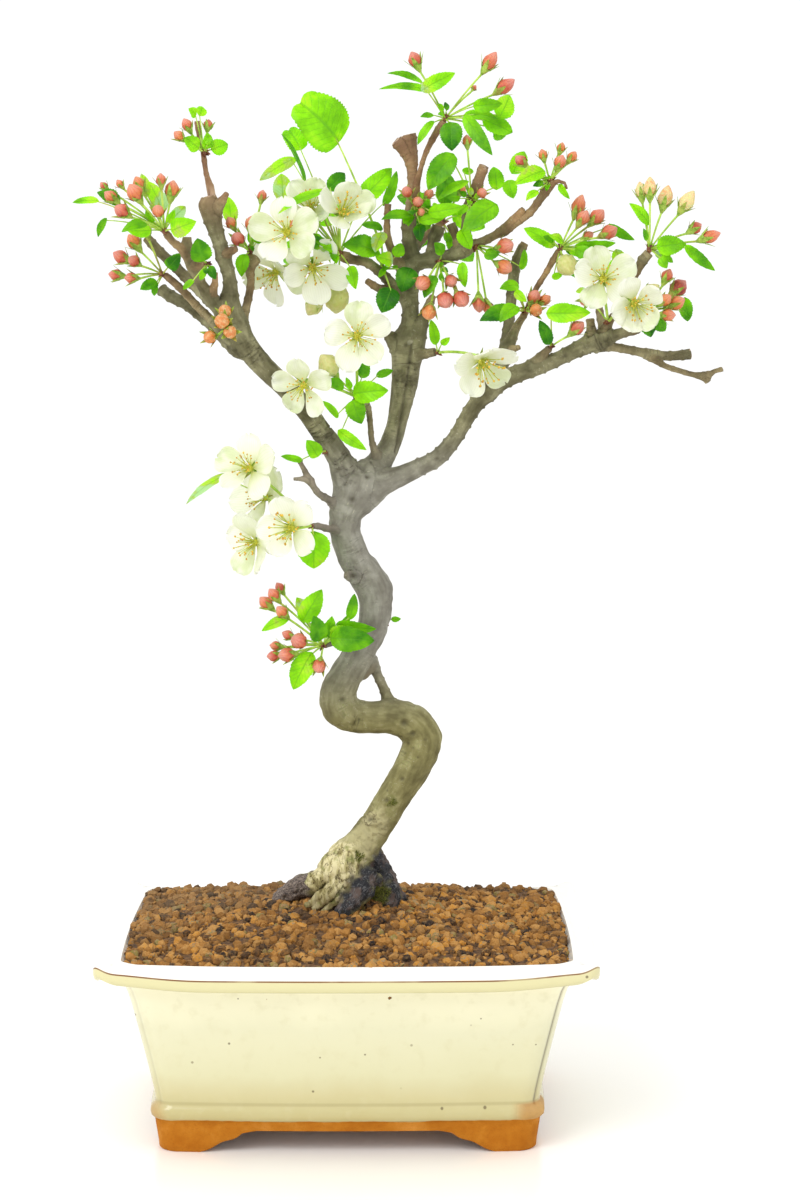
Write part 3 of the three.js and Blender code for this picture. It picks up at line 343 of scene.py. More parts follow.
def makePlainFinish(name, grain, steps, bumps, roughness, blush=(), **light):
    # one ramp over a noise or a named value, sometimes a blush of another shade, and one relief
    finish = Finish(name)
    tone = finish.value(grain) if isinstance(grain, str) else finish.noise(*grain)
    finish.shade = finish.ramp(tone, *steps)
    if blush:
        finish.paint(finish.cloud(*blush[:-1]), blush[-1])
    finish.relief(finish.noise(*bumps[:2]), *bumps[2:])
    return finish.done(roughness, **light)


# The bark's shades from dark to pale: pale grey along the middle of the trunk, olive near the soil,
# olive-brown higher up, brown on young twigs and cream on the roots
barkTones = {"grey": [(0.36, 106, 102, 91), (0.5, 129, 126, 114), (0.64, 153, 151, 139)],
             "olive": [(0.36, 100, 94, 56), (0.5, 127, 121, 76), (0.64, 156, 150, 104)],
             "high": [(0.36, 82, 78, 52), (0.5, 112, 108, 78), (0.64, 148, 144, 108)],
             "young": [(0.38, 98, 72, 50), (0.62, 170, 136, 94)],
             "root": [(0.34, 106, 94, 56), (0.45, 174, 164, 112), (0.56, 214, 204, 158)]}

# A healed eye of the bark as across, down, depth and radius
healedEye = (369, 819, 1, 3.3)


def makeBarkFinish():
    finish = Finish("treeBark")
    crack, rootCrack, rootDark = (62, 56, 38), (72, 56, 32), (106, 94, 56)
    rootPale, lichen = (214, 204, 158), (120, 132, 66)
    grain = finish.vector("grain")
    streaks = finish.noise(0.36, 4, finish.stretch(grain, (1, 1, 0.3)), 0.55)
    patches = finish.noise(90, 3, rough=0.55)
    specks = finish.noise(1.6, 3, grain, 0.6)
    tone = finish.plus(finish.times(streaks, 0.38), finish.times(patches, 0.62))
    finish.shade = finish.ramp(tone, *barkTones["grey"])
    for name in ("olive", "high", "young"):
        finish.paint(finish.value(name), finish.ramp(tone, *barkTones[name]))
    finish.paint(finish.fade(finish.axis(2), 0.45, 0.5, 0, 0.5), (142, 104, 80))
    # fine pale dots, and short dark wrinkles across the limb
    dots = finish.fade(finish.cells(0.62, finish.stretch(grain, (1, 1, 1.7))), 0.1, 0.22, 0.6, 0)
    finish.paint(finish.times(dots, finish.fade(patches, 0.42, 0.58)), (178, 174, 152))
    rings = finish.noise(0.5, 3, finish.stretch(grain, (0.3, 0.3, 1.9)), 0.55)
    wrinkly = finish.most(finish.fade(patches, 0.52, 0.64, 0, 0.6), finish.value("wrinkle"))
    finish.paint(finish.times(finish.fade(rings, 0.52, 0.66, 0, 0.6), wrinkly), crack)
    greening = finish.times(finish.fade(specks, 0.52, 0.66, 0, 0.7), finish.fade(patches, 0.53, 0.63))
    finish.paint(finish.times(greening, finish.value("olive")), lichen)
    # the foot of the trunk is painted a paler cream: partly the bark's own colour, partly a painted highlight
    # on its front, where the key light falls
    finish.paint(finish.times(finish.value("foot"), 0.6), (192, 183, 138))
    # the roots are cream with fine cracks, darker at the soil and green in places
    flow = finish.noise(340, 4, finish.stretch(finish.spot, (1, 1, 0.28)), 0.6)
    root = finish.ramp(flow, *barkTones["root"])
    cracks = finish.away(finish.noise(210, 3, finish.stretch(finish.spot, (1, 1, 0.4)), 0.6), 0.5)
    root = finish.mix(finish.fade(cracks, 0.004, 0.022, 0.8, 0), root, rootCrack)
    root = finish.mix(finish.fade(finish.axis(2), 0.115, 0.13, 0.5, 0), root, rootDark)
    root = finish.mix(finish.cloud(140, 3, 0.54, 0.64, 0, 0.5), root, lichen)
    finish.paint(finish.value("root"), root)
    # a thin broken ring around the paler middle of the healed eye
    apart = finish.apart(finish.spot, toMetres(place(*healedEye[:3])))
    apart = finish.plus(apart, finish.cloud(420, 3, 0.3, 0.7, -0.0012, 0.0012))
    apart = finish.math("DIVIDE", apart, healedEye[3] * millimetre)
    finish.paint(finish.fade(apart, 0.4, 0.8, 0.5, 0), rootPale)
    ring = finish.times(finish.fade(apart, 0.75, 0.95), finish.fade(apart, 1, 1.25, 1, 0))
    finish.paint(finish.times(ring, finish.fade(specks, 0.35, 0.6, 0.15, 0.75)), rootCrack)
    damp = finish.mix(finish.cloud(130, 2, 0.46, 0.6), (34, 35, 39), (88, 74, 68))
    finish.paint(finish.value("damp"), finish.mix(finish.fade(specks, 0.52, 0.66), damp, (98, 98, 98)))
    purple = finish.mix(finish.fade(specks, 0.4, 0.62), (74, 66, 64), (142, 128, 116))
    finish.paint(finish.value("purple"), purple)
    finish.paint(finish.times(finish.value("moss"), finish.fade(specks, 0.35, 0.55)), (92, 96, 34))
    wood = finish.mix(finish.fade(streaks, 0.38, 0.6), (124, 96, 78), (196, 168, 140))
    finish.paint(finish.value("wood"), wood)
    finish.paint(finish.value("scar"), crack)
    finish.relief(streaks, 0.22, 0.7)
    finish.relief(specks, 0.16, 0.7)
    finish.relief(finish.times(flow, finish.value("root")), 0.7, 0.7)
    finish.relief(rings, 0.35, 0.6)
    return finish.done(finish.fade(streaks, 0.3, 0.7, 0.84, 0.64), 0.3)


barkFinish = makeBarkFinish()


# The wood: every limb as across, down, depth and radius in millimetres
limbs = [
    # trunk, from the roots to the fork
    [(350, 935, 8, 10), (351, 906, 8, 10.5), (353, 880, 8, 11), (358, 861, 8, 10.4), (364, 843, 8, 9.3),
     (376, 826, 8, 8.7), (390, 803, 9, 8.8), (405, 779, 10, 9.2), (417, 758, 11, 9.6), (422, 739, 12, 10.4),
     (411, 723, 12, 10.2), (392, 717, 11, 9), (372, 717, 9, 8.5), (354, 716, 8, 8.8), (341, 708, 7, 10),
     (338, 694, 6, 9.5), (344, 678, 6, 8.6), (354, 661, 7, 8), (364, 644, 8, 7.9), (373, 625, 9, 8),
     (376, 606, 11, 8.5), (375, 591, 13, 9.4), (366, 575, 14, 9), (355, 560, 13, 8.5), (349, 545, 11, 8),
     (345, 530, 9, 7.7), (346, 514, 8, 8.7), (352, 499, 8, 10.3), (358, 484, 9, 11.2), (361, 476, 9, 8.5)],
    # the swollen base and the roots spreading into the soil
    [(356, 850, 4, 8.4), (349, 858, 1, 10.6), (341, 869, -1, 11.4), (337, 881, 0, 10), (335, 893, 2, 8),
     (334, 925, 2, 6)],
    [(367, 853, 12, 6.8), (372, 867, 12, 9), (378, 882, 11, 10.4), (381, 896, 10, 10.6), (383, 930, 12, 10)],
    [(368, 876, 0, 8), (361, 889, -7, 7.2), (353, 901, -13, 5.8), (343, 912, -17, 4.2), (336, 924, -18, 3)],
    [(324, 874, -5, 4.4), (313, 882, -8, 4.8), (309, 886, -8, 4)],
    [(342, 864, 11, 9), (325, 881, 16, 7), (305, 885, 19, 6.2), (290, 892, 21, 5.2), (276, 903, 23, 4),
     (262, 915, 25, 2.8), (250, 927, 27, 2)],
    [(338, 872, 16, 6), (322, 884, 25, 4.6), (308, 897, 32, 3.4), (294, 912, 38, 2.4)],
    [(362, 872, 20, 5.4), (368, 884, 30, 4.4), (374, 897, 38, 3)],
    [(380, 877, 20, 7.2), (390, 887, 23, 5.6), (403, 910, 27, 4)],
    [(340, 876, -10, 2.4), (330, 887, -11, 2), (318, 897, -11, 1.7), (305, 907, -10, 1.3)],
    [(346, 881, -10, 2.4), (336, 891, -12, 2), (325, 900, -12, 1.6), (313, 910, -11, 1.2)],
    [(351, 888, -10, 2.2), (342, 897, -12, 1.8), (332, 905, -12, 1.5), (322, 914, -11, 1.2)],
    # snags on the trunk and the small branch that rejoins it
    [(366, 580, 11, 4), (354, 577, 5, 3.4), (344, 575, 3, 1.6)],
    [(371, 660, 12, 3.4), (378, 676, 15, 2.7), (384, 689, 16, 2.8), (391, 706, 14, 3.6), (398, 718, 13, 3.2)],
    [(342, 512, 8, 3.6), (329, 500, 0, 2.2), (318, 493, -6, 1.9), (311, 482, -9, 1.5), (305, 471, -12, 1.4),
     (300, 462, -15, 1.3)],
    [(345, 530, 7, 3.2), (329, 529, -1, 2), (318, 526, -8, 1.8), (313, 526, -11, 1.7)],
    [(368, 636, 5, 3.4), (350, 638, -6, 2.3), (334, 642, -13, 2), (325, 645, -17, 1.8)],
    # left limb, its upright stem and thin tip
    [(357, 494, 9, 9), (346, 475, 7, 7.6), (340, 459, 4, 6.4), (331, 445, 1, 5.9), (320, 430, -3, 5.6),
     (309, 414, -6, 5.6), (290, 392, -10, 5.5), (270, 373, -13, 5.5), (255, 357, -16, 5.9),
     (243, 341, -18, 6.3), (236, 325, -20, 6.2), (232, 312, -21, 5.6), (230, 299, -21, 4.9),
     (230, 281, -20, 3.7), (225, 261, -19, 3.7), (219, 241, -18, 3.9), (213, 222, -17, 4.6),
     (208, 206, -16, 5), (207, 197, -16, 3.2)],
    [(211, 202, -16, 2.8), (210, 187, -16, 2), (206, 173, -15, 1.4), (204, 158, -15, 1.5),
     (202, 147, -15, 1.3), (200, 138, -14, 1.4), (198, 128, -13, 1.7), (197, 121, -13, 1.4)],
    [(228, 320, -21, 4.4), (214, 303, -24, 3.3), (204, 289, -27, 2.9), (196, 273, -30, 2.8),
     (190, 257, -32, 2.7), (187, 244, -33, 2.7), (187, 237, -33, 2.4)],
    [(190, 258, -32, 2.5), (180, 248, -35, 2), (172, 241, -38, 2), (166, 233, -40, 2)],
    [(210, 300, -21, 3.4), (192, 283, -13, 2.9), (175, 266, -7, 2.7), (158, 250, -2, 2.8),
     (147, 238, 1, 2.7)],
    [(229, 338, -19, 3.6), (210, 319, -14, 2.5), (197, 306, -11, 2.2), (184, 292, -9, 2.1),
     (172, 281, -8, 1.9), (165, 275, -7, 1.7)],
    [(238, 350, -15, 4.4), (228, 342, -8, 3.7), (214, 327, 0, 3.4), (200, 315, 6, 3.2), (186, 304, 11, 3.2),
     (172, 297, 16, 3.4), (162, 290, 20, 3.3)],
    [(240, 336, -18, 3.4), (245, 312, -12, 2.4), (249, 295, -8, 2.2), (251, 280, -5, 2.1),
     (249, 266, -3, 2.3), (250, 255, -2, 2.3)],
    [(193, 266, -31, 2.6), (200, 265, -35, 2.1), (206, 264, -38, 1.8)],
    [(214, 217, -17, 2.8), (221, 203, -20, 2.6), (227, 193, -22, 1.4)],
    [(222, 257, -19, 2.6), (231, 251, -23, 2.1), (236, 249, -25, 1.8)],
    # centre limb, up to its sawn top
    [(364, 490, 10, 9), (376, 467, 13, 6.9), (388, 449, 16, 5.8), (395, 430, 19, 5.3), (400, 408, 22, 5.7),
     (404, 386, 25, 6.8), (405, 363, 27, 6.6), (407, 343, 28, 7.6), (410, 324, 28, 5.2), (411, 300, 27, 4),
     (411, 280, 26, 4), (410, 260, 26, 4), (409, 240, 25, 3.8), (409, 222, 24, 4.2), (412, 205, 23, 3.4),
     (413, 188, 22, 2.9), (412, 170, 22, 2.9), (411, 154, 22, 3.3), (409, 143, 22, 4.5), (407, 135, 22, 5)],
    [(410, 158, 22, 3), (402, 146, 21, 4), (396, 141, 20, 3.4)],
    [(407, 374, 27, 5.4), (416, 346, 25, 4.8), (422, 324, 23, 3.6), (429, 305, 20, 2.6), (433, 296, 18, 1.8)],
    [(380, 464, 11, 3), (372, 442, 6, 1.7), (370, 421, 3, 1.6), (367, 405, 1, 1.9), (360, 398, 0, 1.8)],
    [(410, 357, 24, 3.6), (424, 354, 19, 2.7), (435, 352, 16, 2.4)],
    [(414, 202, 22, 2), (417, 185, 19, 1.5), (421, 168, 17, 1.3), (425, 155, 16, 1.4), (431, 142, 14, 1.8),
     (438, 130, 13, 2.1), (444, 121, 12, 1.9)],
    [(408, 302, 26, 3.6), (393, 285, 21, 2.9), (380, 272, 16, 2.8), (366, 262, 11, 2.7), (350, 259, 7, 2.4),
     (342, 255, 5, 2)],
    [(406, 278, 25, 3), (395, 257, 21, 2.4), (388, 240, 19, 2.2), (387, 222, 17, 1.7), (388, 204, 16, 2)],
    # twigs toward the back, hidden from the front by leaves and blooms
    [(346, 258, 6, 2.2), (330, 247, 20, 1.9), (316, 238, 38, 1.7)],
    [(411, 252, 26, 3), (424, 238, 36, 2.2), (441, 224, 42, 1.8)],
    [(606, 339, -11, 3), (600, 314, 6, 2.2), (598, 292, 24, 1.8)],
    # branch to the right of the centre limb
    [(406, 267, 26, 4.3), (420, 262, 24, 4.1), (436, 259, 21, 4.2), (452, 255, 18, 3.5), (470, 247, 15, 2.7),
     (488, 239, 12, 2.4), (504, 230, 9, 2.2), (519, 221, 6, 2), (530, 213, 4, 2), (538, 202, 2, 2.2),
     (545, 192, 0, 2.6), (549, 185, -1, 2.4)],
    [(434, 260, 23, 3.4), (432, 244, 25, 2.8), (437, 232, 26, 4), (439, 226, 26, 3.6)],
    [(466, 250, 16, 3), (466, 226, 14, 2.7), (470, 203, 12, 3.1), (477, 185, 9, 3), (484, 166, 6, 2.8)],
    # right limb and its branches
    [(364, 495, 9, 8), (384, 482, 7, 6.4), (403, 475, 5, 5.4), (420, 467, 3, 4.8), (436, 459, 1, 4.7),
     (448, 447, 0, 4.4), (457, 435, -1, 4.2), (465, 421, -2, 4.3), (474, 407, -3, 4.5), (484, 395, -4, 4.8),
     (497, 384, -5, 4.9), (514, 375, -6, 4.9), (538, 367, -8, 4.4), (560, 358, -9, 4), (580, 348, -10, 4.5),
     (598, 340, -11, 4), (616, 335, -14, 3.1), (636, 328, -17, 2.4)],
    [(590, 344, -10, 3.4), (591, 331, -11, 2.5), (590, 319, -12, 2.2)],
    [(590, 346, -10, 3.4), (612, 347, -8, 2.4), (630, 350, -6, 2.4), (650, 354, -4, 2.6), (668, 356, -3, 2.6),
     (682, 355, -2, 2.8), (690, 354, -1, 3.1)],
    [(650, 356, -4, 2.2), (663, 365, -8, 1.6), (680, 371, -11, 1.5), (695, 375, -14, 1.5),
     (706, 376, -16, 1.7), (715, 371, -18, 1.3), (723, 369, -19, 1.3)],
    [(489, 392, -4, 4.4), (500, 370, 0, 3.6), (506, 353, 3, 3.3), (512, 338, 5, 2.9), (517, 326, 7, 2.3),
     (526, 312, 9, 1.7), (531, 300, 10, 1.5), (537, 287, 10, 1.6), (546, 273, 9, 1.6), (552, 262, 8, 1.8),
     (559, 251, 7, 1.9)],
    [(504, 358, 4, 3.6), (508, 328, 13, 3), (511, 302, 18, 3), (513, 281, 21, 3.2), (516, 263, 23, 3),
     (521, 250, 24, 2.7), (525, 243, 24, 2.2)],
    [(598, 341, -11, 2.9), (613, 316, -14, 1.9), (627, 292, -17, 1.8), (636, 273, -19, 2.2),
     (643, 260, -20, 2.9), (649, 253, -21, 2.7)],
    [(534, 364, -8, 2.8), (543, 354, -12, 2.2), (550, 348, -15, 1.8)],
    [(634, 330, -17, 2.1), (642, 319, -19, 1.7), (646, 313, -20, 1.6)],
    # young shoots and small snags
    [(372, 664, 11, 2.6), (366, 675, 10, 1.7), (363, 678, 9, 1.1)],
    [(310, 481, -9, 1.4), (302, 479, -13, 1.2), (294, 479, -16, 1)],
    [(250, 266, -3, 2.4), (257, 259, -5, 2.5)],
    [(211, 298, -25, 2.4), (215, 284, -29, 1.7), (215, 273, -32, 1.4)],
    [(404, 354, 27, 5), (394, 343, 26, 4), (388, 334, 25, 2.8)],
    [(396, 291, 22, 2.8), (380, 289, 14, 2.3), (367, 281, 9, 1.8)],
    [(504, 231, 9, 2.4), (515, 217, 5, 1.7), (523, 209, 2, 1.4)],
    [(460, 252, 17, 2.8), (456, 237, 18, 2.2), (451, 224, 19, 2.6)],
    [(704, 376, -16, 1.7), (708, 382, -17, 1.3)],
    [(507, 352, 3, 2.4), (514, 349, 0, 1.7), (520, 347, -1, 1.2)],
    [(549, 186, -2, 1.6), (558, 181, -4, 1), (565, 183, -5, 0.8), (567, 190, -5, 0.8)],
]


# Sawn tops as across and down; the limb that ends there is cut flat, with a ragged flared rim
sawnTops = [(407, 135), (396, 141), (690, 354), (207, 197), (484, 166)]
# The line along which two stems of the centre limb have grown together, as across, down and depth
seam = [(411, 345, 20), (409, 367, 20), (404, 400, 17), (400, 430, 14), (396, 452, 12)]
# Pruning scars, burrs and pits as across, down, depth, radius and how far the rim stands up
scars = [(401, 737, 5, 1.3, 0.2), (408, 743, 4, 1.5, 0.2), (404, 753, 4, 1.3, 0.2), (414, 748, 3, 1.1, 0.2),
         (424, 739, 5, 1.4, 0.2), (410, 731, 5, 1, 0.2), (418, 757, 3, 1, 0.2), (386, 790, 1, 1, 0.2),
         (404, 724, -1, 3.2, 0.9), (412, 735, -1, 2.4, 0.7), (369, 819, 1, 3.3, 0.8), (352, 576, 2, 3.2, 0.9),
         (343, 700, -4, 2.6, 0.6), (372, 640, 0, 2.2, 0.5), (352, 500, -3, 2.6, 0.6),
         (327, 437, -8, 2.8, 0.7), (366, 478, 1, 2.4, 0.6), (386, 800, 0, 2.2, 0.6), (402, 779, 0, 2, 0.5),
         (285, 385, -17, 2.2, 0.6), (258, 360, -22, 2, 0.5), (406, 345, 20, 2.2, 0.6), (404, 380, 18, 2, 0.5),
         (500, 383, -10, 2, 0.5), (565, 356, -14, 1.8, 0.5), (437, 459, -4, 2, 0.5), (349, 720, 14, 3, 0.8),
         (376, 600, 19, 2.6, 0.7)]
# Patches of the bark as across, down, depth and radius
patches = {
    "root": [(334, 866, -6, 17), (330, 882, -8, 14), (312, 883, -9, 7), (320, 900, -11, 8)],
    "foot": [(372, 826, -4, 11), (360, 840, -4, 11), (352, 850, -6, 9)],
    "damp": [(382, 868, 6, 12), (394, 884, 14, 15), (370, 878, -7, 8), (362, 888, -14, 9), (353, 900, -18, 8),
             (343, 912, -20, 7), (376, 896, -4, 10), (392, 896, 0, 11), (390, 900, 10, 11),
             (406, 894, 26, 9)],
    "purple": [(288, 890, 20, 15), (307, 880, 13, 7), (268, 906, 26, 14)],
    "moss": [(379, 894, 0, 6.5), (358, 854, -7, 3.2), (393, 800, 0, 3), (371, 882, -4, 3)],
    "wrinkle": [(322, 433, -8, 10), (347, 470, -2, 9), (362, 462, 0, 8), (352, 576, 2, 8), (371, 823, 0, 10),
                (354, 724, 0, 6), (250, 352, -20, 9), (406, 374, 20, 9), (598, 340, -14, 10)]}
barkSize = {"voxel": 0.85, "step": 3.5, "sides": 12, "collar": 1.3, "reach": 14, "oliveTop": 250,
            "oliveFull": 200, "highStart": 325, "highFull": 365, "youngAbove": 3.1, "youngBelow": 1.2,
            "brownStart": 375, "brownFull": 450, "swollenBelow": 4.6, "swelling": 0.15, "nodeSpacing": 6.5,
            "rootTop": 132, "rootLumps": 1.2, "crevice": 1.2, "wrinkle": 1.3, "seam": 1.1, "seamReach": 3.5,
            "slender": 0.92, "fitStep": 1.5}


def curveSpot(knots, number, share):
    # a smooth curve through the knots, without loops where they lie close together
    start, end = knots[number], knots[number + 1]
    before = knots[number - 1] if number else start * 2 - end
    after = knots[number + 2] if number + 2 < len(knots) else end * 2 - start
    gaps = [max((b - a).length, 1e-6) ** 0.5 for a, b in ((before, start), (start, end), (end, after))]
    leave = (start - before) / gaps[0] - (end - before) / (gaps[0] + gaps[1]) + (end - start) / gaps[1]
    arrive = (end - start) / gaps[1] - (after - start) / (gaps[1] + gaps[2]) + (after - end) / gaps[2]
    leave *= gaps[1]
    arrive *= gaps[1]
    s2, s3 = share * share, share ** 3
    return (start * (2 * s3 - 3 * s2 + 1) + leave * (s3 - 2 * s2 + share) + end * (3 * s2 - 2 * s3)
            + arrive * (s3 - s2))


def followLimb(rows, step):
    knots = [place(*row[:3]) for row in rows]
    spots, radii = [], []
    for number, (low, high) in enumerate(zip(rows, rows[1:])):
        pieces = max(1, round((knots[number + 1] - knots[number]).length / step))
        for piece in range(pieces):
            share = piece / pieces
            spots.append(curveSpot(knots, number, share))
            radii.append(low[3] + (high[3] - low[3]) * share)
    spots.append(knots[-1])
    radii.append(rows[-1][3])
    slender = barkSize["slender"]
    return spots, [radius * (slender + (1 - slender) * fade(4, 7, radius)) for radius in radii]


routes = [followLimb(rows, barkSize["step"]) for rows in limbs]


def crossWays(spots):
    # at each spot of a route, two directions across it that turn as little as possible
    firsts, seconds = [], []
    side = Vector((0, -1, 0))
    for onward in headings(spots):
        side = (side - onward * side.dot(onward)).normalized()
        firsts.append(side.copy())
        seconds.append(onward.cross(side))
    return np.array(firsts), np.array(seconds)


class LimbField:
    # how far any point lies from the bark of one limb
    def __init__(self, spots, radii):
        self.spots, self.radii = np.array(spots), np.array(radii)
        self.firsts, self.seconds = crossWays(spots)
        steps = np.linalg.norm(np.diff(self.spots, axis=0), axis=1)
        self.travelled = np.concatenate([[0], np.cumsum(steps)])
        room = self.radii.max() + barkSize["reach"]
        self.low, self.high = self.spots.min(axis=0) - room, self.spots.max(axis=0) + room

    def near(self, points):
        return np.where(np.all((points > self.low) & (points < self.high), axis=1))[0]

    def measure(self, points):
        best = np.full(len(points), np.inf)
        away = np.zeros((len(points), 3))
        where = np.zeros(len(points))
        for number in range(len(self.spots) - 1):
            start, stretch = self.spots[number], self.spots[number + 1] - self.spots[number]
            share = np.clip((points - start) @ stretch / (stretch @ stretch), 0, 1)
            out = points - start - share[:, None] * stretch
            radius = self.radii[number] + share * (self.radii[number + 1] - self.radii[number])
            length = np.linalg.norm(out, axis=1)
            distance = length - radius
            closer = distance < best
            best[closer] = distance[closer]
            away[closer] = out[closer] / np.maximum(length[closer], 1e-6)[:, None]
            where[closer] = number + share[closer]
        return best, away, where


fields = [LimbField(spots, radii) for spots, radii in routes]


def measureBark(points):
    # distance to the whole tree with soft collars at the forks, the way out of it, and what lies nearest
    weights = np.zeros(len(points))
    ways = np.zeros((len(points), 3))
    nearest = np.full(len(points), np.inf)
    limbOf = np.zeros(len(points), dtype=int)
    whereOf = np.zeros(len(points))
    for number, field in enumerate(fields):
        chosen = field.near(points)
        if not len(chosen):
            continue
        distance, away, where = field.measure(points[chosen])
        weight = np.exp(-np.clip(distance, -30, 60) / barkSize["collar"])
        weights[chosen] += weight
        ways[chosen] += away * weight[:, None]
        closer = distance < nearest[chosen]
        rows = chosen[closer]
        nearest[rows], limbOf[rows], whereOf[rows] = distance[closer], number, where[closer]
    ways /= np.maximum(np.linalg.norm(ways, axis=1), 1e-9)[:, None]
    return -barkSize["collar"] * np.log(np.maximum(weights, 1e-30)), ways, limbOf, whereOf


def sawnPlanes():
    # the middle, the direction and the radius of each sawn top
    planes = []
    for rows, (spots, radii) in zip(limbs, routes):
        if rows[-1][:2] in sawnTops:
            planes.append((spots[-1], (spots[-1] - spots[-3]).normalized(), radii[-1]))
    return planes


def makeTree():
    draft = Draft()
    for spots, radii in routes:
        draft.tube(spots, radii, barkSize["sides"])
    piece = draft.make("treeWood", [barkFinish])
    remesh = piece.modifiers.new("oneWood", "REMESH")
    remesh.mode = "VOXEL"
    remesh.voxel_size = barkSize["voxel"] * millimetre
    remesh.use_smooth_shade = True
    bake(piece)
    mesh = piece.data
    count = len(mesh.vertices)
    flat = np.zeros(count * 3)
    mesh.vertices.foreach_get("co", flat)
    points = (flat.reshape(-1, 3) - np.array(potMiddle)) / millimetre
    for _ in range(2):
        distance, ways = measureBark(points)[:2]
        points -= ways * np.clip(distance, -barkSize["fitStep"], barkSize["fitStep"])[:, None]
    distance, ways, limbOf, whereOf = measureBark(points)
    values = {name: np.zeros(count) for name in (*patches, "olive", "high", "young", "wood", "scar")}
    grain = np.zeros((count, 3))
    planes = sawnPlanes()

    def onBark(spot):
        apart, way = measureBark(np.array([spot]))[:2]
        return spot - Vector(way[0]) * apart[0]

    knots = [(onBark(place(*row[:3])), row[3], row[4]) for row in scars]
    seamRoute = followLimb([(*spot, 1) for spot in seam], 1)[0]
    joins = [(onBark(spot),) for spot in seamRoute]
    zones = [(name, place(*row[:3]), row[3]) for name, rows in patches.items() for row in rows]

    def listNear(items, where, room):
        # for each corner, the items close enough to matter
        listed = {}
        for item in items:
            near = np.linalg.norm(points - np.array(item[where]), axis=1) < room(item)
            for index in np.where(near)[0]:
                listed.setdefault(index, []).append(item)
        return listed

    zonesAt = listNear(zones, 1, lambda zone: zone[2] * 1.15 + 3)
    knotsAt = listNear(knots, 0, lambda knot: knot[1] * 2)
    joinsAt = listNear(joins, 0, lambda join: barkSize["seamReach"])
    planesAt = listNear(planes, 0, lambda plane: plane[2] * 1.5 + 4)
    for index in range(count):
        field = fields[limbOf[index]]
        number = min(int(whereOf[index]), len(field.spots) - 2)
        share = whereOf[index] - number
        radius = field.radii[number] * (1 - share) + field.radii[number + 1] * share
        travelled = field.travelled[number] * (1 - share) + field.travelled[number + 1] * share
        spot, way = Vector(points[index]), Vector(ways[index])
        grain[index] = (radius * (way @ Vector(field.firsts[number])),
                        radius * (way @ Vector(field.seconds[number])), travelled + 37 * limbOf[index])
        thick = fade(2.5, 8, radius)
        lumps = noise.noise(spot / 9) * (0.25 + 0.75 * thick) + 0.45 * noise.noise(spot / 3.6) * (0.4 + thick)
        ridges = noise.noise(Vector((grain[index][0], grain[index][1], grain[index][2] * 0.25)) / 1.9)
        shift = lumps * (0.2 + 0.38 * thick) + ridges * (0.06 + 0.1 * thick)
        for name, middle, size in zonesAt.get(index, ()):
            near = fade(size * 1.15, size * 0.6, (spot - middle).length + 3 * noise.noise(spot / 4))
            values[name][index] = max(values[name][index], near)
        if values["wrinkle"][index]:
            # short folds across the limb
            aside, beside = grain[index][0] * 0.12, grain[index][1] * 0.12
            fold = abs(noise.noise(Vector((aside, beside, travelled * 0.45))))
            shift -= barkSize["wrinkle"] * values["wrinkle"][index] * fade(0.14, 0, fold)
        if radius < barkSize["swollenBelow"]:
            # the swollen joints of young wood
            beat = math.sin(travelled * math.tau / barkSize["nodeSpacing"] + limbOf[index] * 2.1)
            shift += radius * barkSize["swelling"] * max(0, beat) ** 4
        rootShare = fade(barkSize["rootTop"] + 16, barkSize["rootTop"] - 6, spot.z)
        if rootShare:
            bulges = noise.noise(spot / 5.5) + 0.6 * noise.noise(spot / 2.4)
            shift += rootShare * barkSize["rootLumps"] * bulges
            slanted = Vector((spot.x / 5 - spot.z / 9, spot.y / 5, spot.z / 16 + spot.x / 16))
            crevice = rootShare * fade(0.075, 0, abs(noise.noise(slanted)))
            shift -= barkSize["crevice"] * crevice
            values["scar"][index] = 0.75 * crevice * fade(-0.1, 0.25, noise.noise(spot / 8))
        if index in joinsAt:
            apart = min((spot - join[0]).length for join in joinsAt[index])
            shift -= barkSize["seam"] * math.exp(-(apart / 1.1) ** 2)
            values["scar"][index] = max(values["scar"][index], 0.75 * math.exp(-(apart / 0.9) ** 2))
        for middle, size, height in knotsAt.get(index, ()):
            apart = (spot - middle).length / size
            shift += height * (math.exp(-((apart - 0.85) / 0.3) ** 2) - 0.9 * math.exp(-(apart / 0.5) ** 2))
            values["scar"][index] = max(values["scar"][index], 0.75 * math.exp(-(apart / 0.55) ** 2))
        spot += way * shift
        for middle, onward, size in planesAt.get(index, ()):
            beyond = (spot - middle) @ onward
            if (spot - middle).length < size * 1.5 + 2 and beyond > -3:
                aside = (spot - middle - onward * beyond).length / size
                ragged = 1.1 * noise.noise(spot * 0.9) + 0.5 * noise.noise(spot * 2.2)
                level = -0.9 * max(0, 1 - aside * aside) + ragged * 0.8
                if beyond > level:
                    spot -= onward * (beyond - level)
                    values["wood"][index] = 1
        values["olive"][index] = fade(barkSize["oliveTop"], barkSize["oliveFull"], spot.z)
        values["high"][index] = fade(barkSize["highStart"], barkSize["highFull"], spot.z)
        brown = fade(barkSize["brownStart"], barkSize["brownFull"], spot.z)
        slim = fade(barkSize["youngAbove"], barkSize["youngBelow"], radius)
        values["young"][index] = max(slim * (0.25 + 0.75 * brown), 0.8 * fade(455, 495, spot.z))
        points[index] = spot
    mesh.vertices.foreach_set("co", (points * millimetre + np.array(potMiddle)).ravel())
    for name, kept in values.items():
        mesh.attributes.new(name, "FLOAT", "POINT").data.foreach_set("value", kept)
    mesh.attributes.new("grain", "FLOAT_VECTOR", "POINT").data.foreach_set("vector", grain.ravel())
    mesh.update()
    settle(piece, "bark", "tree")
    return piece


treeWood = makeTree()
print("tree made", len(treeWood.data.polygons))


